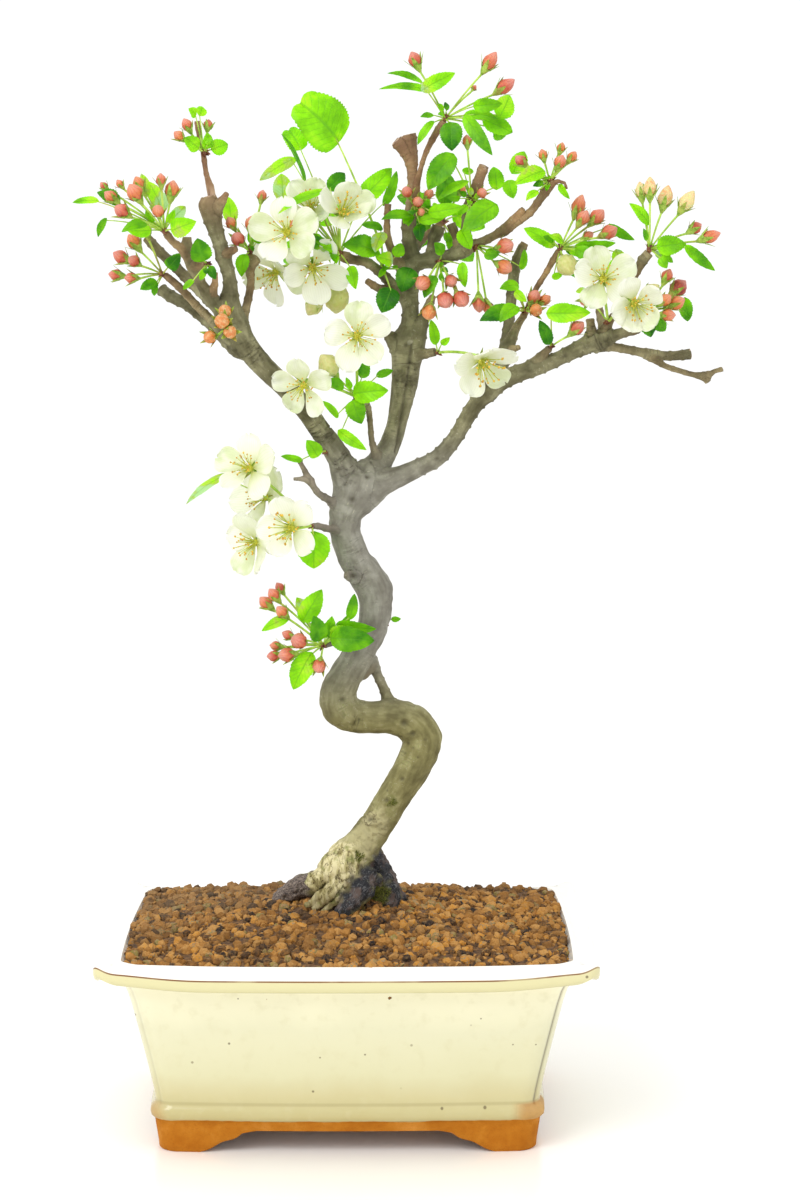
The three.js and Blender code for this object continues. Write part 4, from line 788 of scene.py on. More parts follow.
# The leaves, buds and flower stalks, one piece for each spray
def makeLeafFinish():
    finish = Finish("leafBlade")
    lengthwise, sideways = finish.onMap()
    # the green drifts within one leaf: paler toward the foot, cloudy over the blade
    varied = finish.plus(finish.value("tint"), finish.cloud(75, 2, 0.3, 0.7, -0.17, 0.17))
    varied = finish.plus(varied, finish.cloud(420, 3, 0.3, 0.7, -0.05, 0.05))
    varied = finish.math("ADD", varied, finish.fade(lengthwise, 0.0, 0.7, 0.08, -0.03), clamp=True)
    finish.shade = finish.ramp(varied, (0.0, 20, 90, 4), (0.15, 42, 124, 2), (0.3, 96, 170, 2),
                               (0.5, 138, 206, 4), (0.7, 172, 240, 6), (0.84, 206, 250, 40),
                               (0.92, 210, 220, 100), (1.0, 206, 232, 182))
    fromRib = finish.away(sideways, 0.5)
    # side veins leave the rib at a slant
    slant = finish.minus(finish.times(lengthwise, 8.5), finish.times(fromRib, 4.6))
    beat = finish.away(finish.math("FRACT", slant), 0.5)
    vein = finish.times(finish.fade(beat, 0.02, 0.13, 1, 0), finish.fade(fromRib, 0.3, 0.48, 1, 0))
    veins = finish.most(finish.fade(fromRib, 0.012, 0.05, 1, 0), finish.times(vein, 0.6))
    finish.paint(finish.times(veins, 0.5), (112, 180, 44))
    finish.paint(finish.fade(fromRib, 0.46, 0.5, 0, 0.25), (150, 150, 40))
    finish.relief(veins, -0.25, 0.6)
    finish.relief(finish.noise(900, 3), 0.12, 0.5)
    return finish.done(0.42, 0.35, 0.5, finish.mix(0.5, finish.shade, (170, 246, 0)))


def makeBudFinish():
    # tint runs from deep red through coral and orange to cream
    finish = Finish("budPetal")
    lengthwise, around = finish.onMap()
    tint = finish.value("tint")
    blotch = finish.noise(520, 3)
    varied = finish.plus(tint, finish.fade(blotch, 0.3, 0.7, -0.07, 0.07))
    finish.shade = finish.ramp(varied, (0.0, 140, 50, 38), (0.2, 206, 96, 72), (0.38, 226, 132, 88),
                               (0.57, 230, 148, 66), (0.72, 246, 222, 162), (0.86, 226, 226, 154),
                               (1.0, 210, 214, 124))
    tip = finish.fade(lengthwise, 0.45, 0.95, 0, 0.5)
    finish.paint(finish.times(tip, finish.fade(tint, 0.45, 0.6, 1, 0.2)), (242, 190, 176))
    foot = finish.fade(lengthwise, 0.0, 0.3, 0.5, 0)
    finish.paint(finish.times(foot, finish.fade(tint, 0.6, 0.8, 1, 0)), (214, 150, 92))
    streak = finish.math("SINE", finish.plus(finish.times(around, 69.1), finish.times(blotch, 9)))
    redness = finish.times(finish.fade(streak, 0.2, 1, 0, 0.45), finish.fade(tint, 0.5, 0.75, 1, 0.1))
    finish.paint(redness, (210, 92, 72))
    finish.relief(streak, 0.06, 0.5)
    return finish.done(0.5, through=0.22, soft=(0.2, 0.003))


leafFinish, budFinish = makeLeafFinish(), makeBudFinish()
stalkFinish = makePlainFinish("greenStalk", (180, 3), [(0.35, 134, 176, 40), (0.65, 190, 222, 96)],
                              (1400, 3, 0.12, 0.6), 0.55, (70, 2, 0.54, 0.72, 0, 0.4, (176, 120, 84)),
                              soft=(0.15, 0.002))
calyxFinish = makePlainFinish("budCalyx", (420, 3), [(0.35, 124, 164, 42), (0.6, 184, 212, 90)],
                              (1800, 3, 0.15, 0.7), 0.6, (150, 2, 0.52, 0.7, 0, 0.4, (186, 108, 80)),
                              through=0.2)
scaleFinish = makePlainFinish("spurScales", (600, 4),
                              [(0.3, 74, 44, 30), (0.5, 124, 74, 50), (0.7, 176, 122, 84)],
                              (1500, 3, 0.25, 0.8), 0.7)
sprayFinishes = [leafFinish, stalkFinish, budFinish, calyxFinish, scaleFinish]
leafPart, stalkPart, budPart, calyxPart, scalePart = range(5)

# A leaf is the start of its blade and its tip (across, down), the two depths, its width in millimetres
# and its roll in degrees. A bud is across, down, depth and radius. A bloom is its middle, the way it
# faces, its turn in degrees and its share of full size. Fillers are small leaves between the listed ones.
sprays = {
    "spray_left_tip": {"base": (206, 154, -20), "fillers": 2,
        "leaves": [(199, 116, 203, 106, -13, -10, 6, 20), (196, 116, 190, 108, -14, -18, 6, 30),
            (199, 149, 185, 138, -22, -26, 8.5, 10), (206, 149, 209, 133, -20, -22, 6.5, 30),
            (211, 150, 228, 143, -18, -16, 9, 15)],
        "buds": [(187, 125, -20, 2.7), (179, 136, -24, 2.5), (208, 125, -8, 2.4)]},
    "spray_left_outer": {"base": (163, 229, -42), "fillers": 4,
        "leaves": [(99, 201, 72, 203, -52, -50, 5, 20), (119, 206, 98, 190, -44, -40, 8.5, 20),
            (147, 224, 122, 231, -52, -58, 6.5, 20), (107, 218, 97, 237, -40, -36, 4.5, 20),
            (147, 197, 141, 173, -36, -32, 5.5, 20), (163, 213, 150, 180, -30, -22, 10, 20),
            (171, 231, 195, 221, -50, -56, 10.5, 15), (170, 222, 185, 205, -40, -34, 7, 20)],
        "buds": [(111, 197, -46, 3), (135, 193, -52, 3.9), (139, 184, -42, 3), (122, 211, -56, 3.4),
            (158, 211, -56, 2.9), (161, 180, -44, 2.5), (172, 190, -40, 3.6), (104, 186, -38, 1.7),
            (120, 184, -46, 1.7)]},
    "spray_left_lower": {"base": (161, 274, -8),
        "leaves": [(158, 283, 140, 288, -12, -16, 7.5, 15), (157, 286, 154, 296, -8, -8, 4, 20),
            (168, 268, 180, 254, -16, -22, 8, 20)],
        "buds": [(121, 257, -14, 3.4), (134, 261, -20, 2.8), (116, 275, -8, 2.9), (131, 278, -16, 2.7),
            (134, 242, -6, 3.5), (146, 231, -10, 2.7)]},
    "spray_left_fork": {"base": (208, 264, -40), "fillers": 2,
        "leaves": [(202, 262, 198, 239, -44, -48, 11.5, 10), (210, 266, 216, 279, -42, -44, 5, 20),
            (194, 280, 183, 290, -38, -38, 4, 20)]},
    "spray_left_inner": {"base": (250, 251, -3), "fillers": 2,
        "leaves": [(245, 254, 240, 276, -8, -12, 7.5, 10), (231, 224, 229, 196, 2, 8, 8.5, 15),
            (256, 243, 262, 232, -8, -12, 4.5, 30)],
        "buds": [(231, 223, -12, 2.7), (238, 239, -14, 3.4), (251, 224, -10, 3.2), (259, 226, -2, 2.9),
            (262, 196, 2, 2.4)]},
    "spray_left_limb": {"base": (222, 330, -28),
        "buds": [(225, 311, -36, 3.1), (222, 321, -42, 3.7), (230, 332, -40, 3.3), (210, 337, -36, 3.2)]},
    "spray_upper_middle": {"base": (337, 251, 3), "fillers": 11,
        "leaves": [(339, 142, 303, 103, 14, 4, 28, 8), (301, 150, 289, 129, 18, 22, 12, 15),
            (305, 184, 283, 133, 12, 4, 7, 60), (296, 158, 260, 180, 22, 16, 8.5, 20),
            (328, 190, 345, 172, 22, 28, 9, 15), (357, 203, 394, 169, 18, 26, 11.5, 12),
            (383, 206, 399, 172, 34, 42, 6, 30), (330, 190, 279, 213, -2, -24, 7, 30),
            (283, 201, 281, 173, 12, 16, 11, 10), (350, 266, 357, 288, 0, -6, 7, 10)],
        "buds": [(337, 298, 12, 6.4), (314, 305, 8, 4.6)],
        "blooms": [(287, 233, -18, -0.15, -0.97, 0.15, 10, 1), (312, 267, -4, 0.25, -0.9, -0.3, 40, 1),
            (342, 214, -8, 0.3, -0.85, 0.45, 0, 0.95), (276, 272, 13, -0.5, -0.7, -0.45, 20, 1),
            (311, 211, 3, -0.1, -0.8, 0.56, 50, 0.95)]},
    "spray_centre_front": {"base": (417, 208, 16), "fillers": 7,
        "leaves": [(412, 216, 382, 219, 8, 0, 7.5, 25), (419, 221, 448, 216, 6, 2, 6, 25),
            (420, 224, 421, 241, 10, 6, 7, 15), (428, 213, 463, 206, 2, -4, 8, 20)],
        "buds": [(407, 192, 10, 2.8), (418, 202, 6, 2.7), (429, 194, 12, 2.4), (421, 212, 4, 1.8)]},
    "spray_centre_left": {"base": (389, 263, 14), "fillers": 6,
        "leaves": [(378, 251, 344, 243, 6, 0, 13, 12), (383, 229, 362, 224, 10, 6, 6, 30),
            (383, 232, 375, 251, 4, -2, 8.5, 20), (393, 262, 378, 256, 8, 4, 9, 10),
            (396, 257, 401, 243, 12, 12, 7, 15), (411, 268, 401, 291, 12, 8, 12.5, 8),
            (392, 288, 383, 312, 8, 2, 13, 8)]},
    "spray_top": {"base": (447, 115, 11), "fillers": 5,
        "leaves": [(421, 91, 454, 71, 2, 0, 8.5, 12), (423, 83, 388, 71, 12, 8, 5, 30),
            (433, 92, 379, 88, 8, 2, 5.5, 20), (451, 122, 452, 150, 6, 2, 12.5, 8),
            (434, 121, 416, 144, 10, 8, 5, 20), (499, 118, 511, 95, 14, 16, 11.5, 10),
            (482, 119, 513, 133, 20, 24, 10, 12), (473, 106, 502, 104, 4, 0, 8, 20),
            (464, 115, 493, 154, 2, -8, 8, 20), (497, 128, 503, 140, 26, 30, 8, 15)],
        "buds": [(415, 60, 6, 3.4), (489, 63, 4, 3.8), (504, 87, 2, 3.8), (474, 88, 14, 1.2)]},
    "spray_stub": {"base": (471, 200, 8), "fillers": 9,
        "leaves": [(454, 154, 429, 190, 0, -4, 13.5, 10), (469, 181, 438, 200, 4, 0, 5.5, 20),
            (497, 204, 462, 229, 0, -8, 13.5, 8), (461, 229, 471, 249, 6, 4, 8.5, 12),
            (497, 190, 494, 166, 12, 16, 9.5, 10), (462, 170, 474, 172, 14, 16, 4, 20)],
        "buds": [(467, 141, 8, 2.4), (482, 193, 0, 2.5)]},
    "spray_branch_tip": {"base": (550, 181, -2), "fillers": 7,
        "leaves": [(512, 174, 525, 151, 6, 10, 9.5, 10), (545, 171, 515, 183, -6, -12, 9.5, 12),
            (508, 180, 514, 198, 0, -2, 8, 12), (538, 191, 526, 200, -10, -14, 5, 20),
            (559, 184, 569, 199, -2, -8, 4, 30)],
        "buds": [(543, 155, -4, 2.3), (521, 161, -6, 2.8), (561, 148, 0, 2), (560, 162, -8, 3),
            (572, 157, -2, 2.5)]},
    "spray_hanging": {"base": (437, 268, 12), "fillers": 3,
        "leaves": [(462, 262, 466, 287, 6, 4, 6, 15), (436, 276, 423, 297, 4, 0, 7.5, 15),
            (443, 254, 435, 243, 10, 8, 7, 15)],
        "buds": [(423, 283, 0, 3.9), (451, 281, 2, 3.2), (445, 300, -4, 4.1), (461, 299, -2, 4.1),
            (429, 312, -2, 3.7)]},
    "spray_under_branch": {"base": (477, 251, 8), "fillers": 2,
        "leaves": [(484, 256, 499, 254, 2, 0, 5, 15), (521, 270, 525, 249, 12, 14, 4.5, 20)],
        "buds": [(504, 267, 2, 3.8), (505, 246, 0, 4), (479, 304, 4, 3.4), (488, 308, 8, 2.8)]},
    "spray_right_twig": {"base": (523, 309, 5),
        "leaves": [(514, 311, 480, 319, 0, -8, 10.5, 10), (517, 306, 499, 320, -6, -14, 9, 12),
            (519, 286, 500, 288, 8, 4, 7, 15), (515, 291, 526, 302, -2, -6, 5, 20)],
        "buds": [(534, 297, 0, 3.4), (545, 300, 2, 2.7), (536, 310, -4, 3.2)]},
    "spray_right_inner": {"base": (561, 247, 6), "fillers": 5,
        "leaves": [(555, 246, 524, 229, 4, 0, 9, 12), (563, 242, 550, 235, 0, -4, 5.5, 20),
            (575, 249, 603, 262, -2, -8, 8, 15), (574, 246, 616, 245, 8, 12, 6, 25),
            (608, 225, 635, 239, 10, 6, 5.5, 30), (616, 249, 625, 273, 14, 16, 8, 20),
            (552, 278, 563, 273, 4, 2, 4, 20)],
        "buds": [(578, 207, 4, 3.8), (583, 218, -4, 3.4), (597, 217, 0, 3.7), (609, 232, -4, 3.6),
            (588, 236, 2, 2.2), (567, 265, -2, 5.4)]},
    "spray_right_outer": {"base": (650, 248, -22), "fillers": 4,
        "leaves": [(649, 225, 630, 203, -24, -26, 6.5, 15), (657, 247, 685, 243, -28, -36, 11, 12),
            (660, 257, 667, 268, -24, -26, 5.5, 15), (661, 252, 673, 263, -16, -14, 4, 20),
            (685, 245, 714, 272, -26, -28, 6, 20)],
        "buds": [(641, 192, -20, 3), (650, 189, -28, 3.5), (665, 199, -18, 4.1), (686, 203, -24, 4.1),
            (695, 228, -14, 3), (709, 237, -22, 3.5)]},
    "spray_right_lower": {"base": (648, 310, -21), "fillers": 3,
        "leaves": [(645, 314, 651, 337, -24, -26, 9.5, 10), (652, 317, 666, 331, -20, -18, 8, 12),
            (685, 297, 688, 322, -12, -8, 7.5, 15), (641, 318, 634, 327, -28, -32, 5, 20)],
        "buds": [(667, 276, -20, 2.9), (678, 288, -14, 4.2), (665, 300, -26, 3), (676, 303, -22, 3.6),
            (668, 315, -26, 3.1)]},
    "spray_right_spur": {"base": (553, 345, -17),
        "leaves": [(546, 313, 590, 315, -20, -26, 10.5, 10), (549, 345, 541, 320, -20, -24, 7, 10)],
        "buds": [(577, 328, -22, 3.4)]},
    "spray_right_blooms": {"base": (608, 322, -15),
        "leaves": [(585, 293, 576, 290, -8, -6, 5, 20)],
        "buds": [(651, 292, -20, 4)],
        "blooms": [(603, 279, -26, 0, -0.98, 0.18, 15, 0.95), (634, 303, -40, 0.15, -0.92, -0.3, 20, 0.9)]},
    "spray_centre_spur": {"base": (439, 353, 14),
        "leaves": [(436, 345, 431, 320, 8, 4, 6, 15), (441, 344, 450, 338, 10, 8, 4, 20)],
        "blooms": [(481, 361, -18, 0.3, -0.82, -0.48, 12, 1)]},
    "spray_middle": {"base": (354, 397, -1), "fillers": 3,
        "leaves": [(353, 394, 387, 388, -6, -12, 12.5, 10), (361, 378, 368, 361, 2, 6, 7, 15),
            (376, 376, 393, 369, 4, 8, 4.5, 20), (344, 388, 327, 380, -10, -14, 7, 15),
            (353, 400, 360, 424, -6, -8, 11, 8), (338, 418, 322, 400, -10, -12, 4.5, 20),
            (338, 430, 366, 450, -12, -18, 6.5, 15)],
        "buds": [(329, 366, -8, 5.4)],
        "blooms": [(357, 336, -14, 0.1, -0.97, -0.1, 5, 1), (304, 385, -22, -0.3, -0.85, -0.4, 0, 0.9)]},
    "spray_lower_left": {"base": (309, 526, -14),
        "leaves": [(314, 531, 314, 569, -8, -8, 19, 6), (228, 474, 185, 503, -18, -22, 5.5, 20)],
        "blooms": [(250, 469, -20, -0.4, -0.8, 0.35, 0, 1), (266, 497, 6, -0.6, -0.7, 0.1, 30, 1),
            (256, 542, -16, -0.66, -0.72, -0.2, 0, 1), (292, 528, -40, -0.35, -0.92, 0.05, 20, 1)]},
    "spray_lower": {"base": (320, 646, -20), "fillers": 3,
        "leaves": [(330, 638, 374, 640, -22, -26, 14, 8), (336, 624, 376, 630, -14, -18, 7.5, 20),
            (302, 622, 320, 589, -22, -24, 11.5, 10), (320, 641, 313, 617, -28, -32, 10.5, 10),
            (312, 652, 294, 690, -24, -26, 12.5, 8), (290, 617, 261, 630, -14, -12, 6.5, 15),
            (349, 620, 356, 594, -12, -10, 6, 15), (325, 638, 333, 617, -14, -16, 8, 20),
            (337, 632, 351, 613, -8, -6, 5, 25), (306, 619, 297, 597, -8, -6, 8, 20)],
        "buds": [(266, 603, -18, 3.2), (274, 595, -24, 3), (280, 588, -16, 2.2), (282, 612, -26, 2.9),
            (299, 641, -34, 4), (287, 655, -28, 3.7), (274, 656, -22, 2.8), (276, 646, -16, 2.5),
            (288, 635, -22, 2.5), (319, 666, -28, 3.4)]},
    "spray_back": {"base": (443, 222, 43), "fillers": 5,
        "leaves": [(432, 230, 402, 246, 44, 52, 13, 10), (448, 232, 474, 262, 46, 54, 13, 12),
            (452, 214, 486, 228, 52, 58, 12, 10), (430, 208, 396, 196, 46, 52, 12, 10),
            (444, 205, 448, 172, 40, 44, 12, 10), (434, 231, 404, 246, 54, 62, 13, 10),
            (444, 206, 448, 172, 48, 52, 12, 10)],
        "buds": [(460, 190, 44, 3), (420, 232, 60, 3.4), (424, 205, 58, 3.4)]},
    "spray_back_left": {"base": (314, 237, 40),
        "leaves": [(306, 244, 282, 262, 52, 60, 13, 10), (318, 224, 340, 204, 46, 50, 12, 10)],
        "buds": [(296, 226, 54, 3.6), (330, 252, 54, 3.2)]},
    "spray_back_right": {"base": (598, 289, 26),
        "leaves": [(590, 280, 566, 264, 36, 42, 12, 10), (606, 276, 632, 262, 34, 38, 12.5, 10)],
        "buds": [(586, 300, 40, 3.4), (618, 296, 38, 3.6)]},
    "limbLeaf": {"base": (320, 459, -7),
        "leaves": [(318, 457, 308, 440, -12, -16, 9, 10), (303, 461, 281, 457, -14, -18, 4.5, 20)]},
    "trunkLeaf": {"base": (386, 622, 13),
        "leaves": [(391, 619, 401, 619, 14, 14, 3.4, 20)]},
}


# How green a blade is, from dark to pale, by how near its tip lies to one of the listed spots
leafTints = [
    # the darkest group is partly the leaves' own deeper green and partly painted shade, standing for the
    # shade these leaves lie in
    ((0.05, 0.2), 7, [(380, 311), (392, 289), (421, 241), (401, 291), (541, 320), (383, 312), (651, 337)]),
    ((0.9, 0.98), 7, [(260, 180), (188, 500), (297, 597), (150, 180), (185, 205), (375, 251), (576, 290),
                      (281, 173), (624, 273), (141, 173)]),
    ((0.66, 0.78), 3, [(303, 103), (289, 129), (294, 690), (314, 569), (279, 213), (511, 95), (454, 71),
                       (195, 221), (229, 196), (590, 315), (394, 169), (320, 589), (387, 388)]),
    ((0.3, 0.4), 7, [(462, 229), (374, 640), (376, 630)])]
otherTints = (0.28, 0.8)
# Tints of the buds that aren't coral
budTints = {
    0.04: [(678, 288)],
    0.58: [(225, 311), (222, 321), (230, 332), (210, 337), (429, 312), (536, 310)],
    0.74: [(641, 192), (650, 189), (665, 199), (686, 203)],
    0.93: [(567, 265), (329, 366), (337, 298), (314, 305), (651, 292)]}
# Buds with long furled points
longBuds = [(414, 56), (487, 63), (502, 86), (641, 192), (650, 189), (665, 199), (686, 203), (709, 236),
            (578, 207), (580, 218)]
leafSize = {"rows": 34, "columns": 8, "smallRows": 20, "smallColumns": 4, "smallBelow": 6.5,
            "thickness": 0.32, "fold": 0.3, "arch": 0.07, "teeth": 13, "tooth": 0.12, "wave": 0.035,
            "stalk": 0.5, "fillerReach": 75, "lobes": 0.07, "seed": 40}
budSize = {"sides": 14, "ridge": 0.07, "stalk": 0.55, "sepal": 1.25, "cup": 3.4,
           "ballAbove": 4.5, "smallBelow": 2.2}
spurSize = {"scales": 7, "scale": 2.6, "knuckle": 1.5}


def isListed(spots, across, down, reach):
    return any(abs(x - across) < reach and abs(y - down) < reach for x, y in spots)


def seatOf(base):
    # the place on the bark where a spur grows, and the way out of the bark there
    wanted = place(*base)
    best = None
    for spots, radii in routes:
        for spot, radius in zip(spots, radii):
            room = (spot - wanted).length - radius
            if best is None or room < best[0]:
                best = (room, spot, radius)
    _, middle, radius = best
    outward = (wanted - middle).normalized()
    return middle + outward * (radius * 0.85), outward


def bowed(start, end, pieces, rise):
    middle = (start + end) / 2 + Vector((0, 0, rise * (end - start).length))
    shares = [piece / pieces for piece in range(pieces + 1)]
    return [start * (1 - s) ** 2 + middle * (2 * s * (1 - s)) + end * s * s for s in shares]


# Tips of the leaves that are broad and notched
roundLeaves = [(303, 103), (289, 129)]
# Leaves whose stalk goes to another twig than the spray's own
farStalks = {(303, 103): (382, 248, 15)}
roundForm = [(0, 0.1), (0.04, 0.5), (0.1, 0.76), (0.2, 0.93), (0.33, 1), (0.5, 1), (0.66, 0.97), (0.8, 0.88),
             (0.9, 0.77), (1, 0.62)]
leafForm = [(0, 0.03), (0.05, 0.42), (0.12, 0.7), (0.22, 0.91), (0.34, 1), (0.46, 0.99), (0.58, 0.92),
            (0.7, 0.79), (0.81, 0.6), (0.9, 0.38), (0.96, 0.18), (1, 0.02)]


def addLeaf(draft, seat, row, chance):
    fromAcross, fromDown, tipAcross, tipDown, fromDepth, tipDepth, width, roll = row
    start, tip = place(fromAcross, fromDown, fromDepth), place(tipAcross, tipDown, tipDepth)
    length = (tip - start).length
    onward = (tip - start).normalized()
    facing = Matrix.Rotation(math.radians(roll), 3, onward) @ Vector((0, -1, 0.25))
    facing = (facing - onward * facing.dot(onward)).normalized()
    side = onward.cross(facing)
    small = width < leafSize["smallBelow"]
    isRound = isListed(roundLeaves, tipAcross, tipDown, 3)
    form = roundForm if isRound else leafForm
    lobes = leafSize["lobes"] * length * isRound
    teeth = round(leafSize["teeth"] * min(1.3, max(0.6, length / 18)))
    phase, twist, bend = chance.random() * 6, chance.uniform(-0.25, 0.25), chance.uniform(-0.06, 0.06)
    bend *= not isRound
    fold = leafSize["fold"] * chance.uniform(0.4, 1.7)
    arch = leafSize["arch"] * chance.uniform(0.4, 1.9)
    cup = chance.uniform(-0.3, 0.3)

    def at(share, sideways):
        bite = 1 - leafSize["tooth"] * (teeth * share % 1) * (0.1 < share < 0.96)
        half = width / 2 * along(form, share) * bite
        out = half * sideways
        swing = 9 * share + phase + (2 if sideways > 0 else 0)
        wave = leafSize["wave"] * width * math.sin(swing) * sideways ** 2
        lift = fold * abs(out) * (1 - 0.35 * abs(sideways)) + wave + cup * out * out / width
        lift += length * arch * 4 * share * (1 - share) - 0.12 * width * share ** 3
        turned = twist * share
        sway = out + length * bend * share * share
        reach = length * share + lobes * share ** 4 * math.sin(math.pi * abs(sideways))
        spot = start + onward * reach + facing * (lift + out * turned) + side * sway
        slope = fold * (1 if sideways > 0 else -1 if sideways < 0 else 0) + turned
        normal = (facing - side * slope).normalized()
        return spot, normal

    listed = (tints for tints, near, tips in leafTints if isListed(tips, tipAcross, tipDown, near))
    tint = chance.uniform(*next(listed, otherTints))
    rows = leafSize["smallRows"] if small else leafSize["rows"]
    columns = leafSize["smallColumns"] if small else leafSize["columns"]
    draft.sheet(at, rows, columns, leafSize["thickness"], leafPart, tint=tint)
    inside = start.lerp(tip, 0.12) + facing * (length * 0.02)
    if (tipAcross, tipDown) in farStalks:
        seat = place(*farStalks[tipAcross, tipDown])
    route = bowed(seat, inside, 6, 0.07 if length > 9 else 0.03)
    thick = leafSize["stalk"] * (0.75 + 0.02 * width)
    draft.tube(route, [thick * (1.25 - 0.1 * number) for number in range(7)], 6, stalkPart, tint=tint)


budForm = [(-1.02, 0.36), (-0.8, 0.66), (-0.48, 0.9), (-0.1, 1), (0.3, 0.97), (0.66, 0.8), (0.96, 0.54),
           (1.18, 0.3), (1.34, 0.1)]
longForm = [(-1.02, 0.36), (-0.75, 0.62), (-0.4, 0.84), (0, 0.92), (0.45, 0.88), (0.9, 0.72), (1.25, 0.5),
            (1.55, 0.28), (1.75, 0.08)]
cupForm = [(-2.0, 0.2), (-1.75, 0.3), (-1.5, 0.46), (-1.15, 0.6), (-0.85, 0.74), (-0.7, 0.76)]
bloomCupForm = [(-2.3, 0.3), (-1.9, 0.55), (-1.3, 0.8), (-0.6, 0.86), (0.15, 0.95), (0.3, 0.8)]
sepalForm = [(0, 0.55), (0.25, 0.6), (0.7, 0.32), (1, 0.03)]
knuckleForm = [(-1.6, 0.7), (-0.8, 1.05), (0, 1), (0.6, 0.8), (1, 0.4)]
scaleForm = [(0, 0.7), (0.35, 1), (0.75, 0.6), (1, 0.06)]


def addLathe(draft, middle, axis, size, form, sides, finish, ridge=0.0, ridges=5, phase=0.0, **values):
    # a round body along an axis; its ridges wind round it like furled petals
    first, second = crossed(axis)
    rings = []
    reach = form[-1][0] - form[0][0]
    for level, radius in form:
        ring = []
        for corner in range(sides):
            turn = math.tau * corner / sides
            furl = (ridges * (turn / math.tau + 0.22 * level) + phase) % 1
            out = size * radius * (1 + ridge * (furl - 0.5) * 2)
            spot = middle + axis * (level * size) + circling(first, second, turn) * out
            ring.append(draft.point(spot, ((level - form[0][0]) / reach, corner / sides), **values))
        rings.append(ring)
    draft.skin(rings, finish)


def addSepals(draft, middle, axis, size, start, reach, spread, chance, width=0.62, **values):
    # five pointed sepals round the axis; spread is how far their tips lean out
    first, second = crossed(axis)
    for count in range(5):
        turn = math.tau * (count + chance.uniform(-0.12, 0.12)) / 5
        out = circling(first, second, turn)
        side = axis.cross(out)
        lean = spread * chance.uniform(0.75, 1.25)

        def at(share, sideways):
            rise = start + reach * share
            away = 0.78 + 0.34 * math.sin(min(1, share * 1.2) * math.pi / 2) + lean * share * share
            half = width * along(sepalForm, share)
            curve = -0.25 * (half * sideways) ** 2
            spot = middle + (axis * rise + out * (away + curve) + side * (half * sideways)) * size
            return spot, out

        draft.sheet(at, 5, 2, 0.3, calyxPart, **values)


def addBud(draft, seat, row, chance):
    across, down, depth, radius = row
    middle = place(across, down, depth)
    axis = ((middle - seat).normalized() + Vector((0, 0, 0.15))).normalized()
    tint = next((key for key, spots in budTints.items() if isListed(spots, across, down, 3)), None)
    tint = chance.uniform(0.2, 0.52) if tint is None else tint + chance.uniform(-0.04, 0.04)
    isBall = radius > budSize["ballAbove"]
    form = longForm if isListed(longBuds, across, down, 3) else budForm
    size = radius * (1 if radius > budSize["smallBelow"] else 1.1)
    ridge, ridges = budSize["ridge"] * (1.7 if isBall else 1), 5 if isBall else 3
    addLathe(draft, middle, axis, size, form, budSize["sides"], budPart, ridge, ridges, chance.random(),
             tint=tint)
    cup = min(size, budSize["cup"])
    foot = middle - axis * (size - cup) * 0.98
    addLathe(draft, foot, axis, cup, cupForm, 8, calyxPart, tint=tint)
    sepal = budSize["sepal"] * chance.uniform(0.9, 1.35)
    addSepals(draft, foot, axis, cup, -0.85, sepal, 0.6, chance, tint=tint)
    end = foot - axis * cup * 1.9
    route = bowed(seat, end, 6, chance.uniform(0.02, 0.1))
    radii = [budSize["stalk"] * (0.85 + 0.05 * number) for number in range(7)]
    draft.tube(route, radii, 6, stalkPart, tint=tint)


def bloomSeat(row):
    across, down, depth, faceX, faceY, faceZ, turn, share = row
    facing = Vector((faceX, faceY, faceZ)).normalized()
    first = (Vector((0, 0, 1)) - facing * facing.z).normalized()
    first = Matrix.Rotation(math.radians(turn), 3, facing) @ first
    return place(across, down, depth), facing, first, share


calyxSize = {"cup": 2.3, "behind": 1.0, "sepalsBehind": 0.9, "sepal": 0.15, "spread": 2.2, "width": 0.75,
             "stalkBehind": 5.4, "stalk": 0.75, "stalkEnd": 0.7}


def addBloomStalk(draft, seat, row, chance):
    middle, facing = bloomSeat(row)[:2]
    cup = calyxSize["cup"]
    foot = middle - facing * calyxSize["behind"]
    addLathe(draft, foot, facing, cup, bloomCupForm, 10, calyxPart, tint=0.4)
    sepalFoot = middle - facing * calyxSize["sepalsBehind"]
    addSepals(draft, sepalFoot, facing, cup, -0.4, calyxSize["sepal"], calyxSize["spread"], chance,
              calyxSize["width"], tint=0.4)
    route = bowed(seat, middle - facing * calyxSize["stalkBehind"], 8, 0.06)
    draft.tube(route, [calyxSize["stalk"]] * 8 + [calyxSize["stalkEnd"]], 7, stalkPart, tint=0.5)


def addSpur(draft, seat, outward, chance, small):
    # the knuckle that the stalks leave from, in its coat of brown scales
    size = spurSize["knuckle"] * (0.7 if small else 1)
    addLathe(draft, seat + outward * size * 0.5, outward, size, knuckleForm, 9, scalePart, 0.12, 4, 0.3)
    first, second = crossed(outward)
    for count in range(spurSize["scales"]):
        turn = count * 2.4 + chance.uniform(-0.3, 0.3)
        out = circling(first, second, turn)
        side = outward.cross(out)
        length = spurSize["scale"] * chance.uniform(0.7, 1.2) * (0.75 if small else 1)
        lean = chance.uniform(0.2, 0.6)

        def at(share, sideways):
            half = 0.42 * length * along(scaleForm, share)
            spot = seat + outward * (length * share) + side * (half * sideways)
            spot += out * (size * 0.95 + lean * length * share * share - 0.3 * abs(half * sideways))
            return spot, out

        draft.sheet(at, 5, 2, 0.3, scalePart)


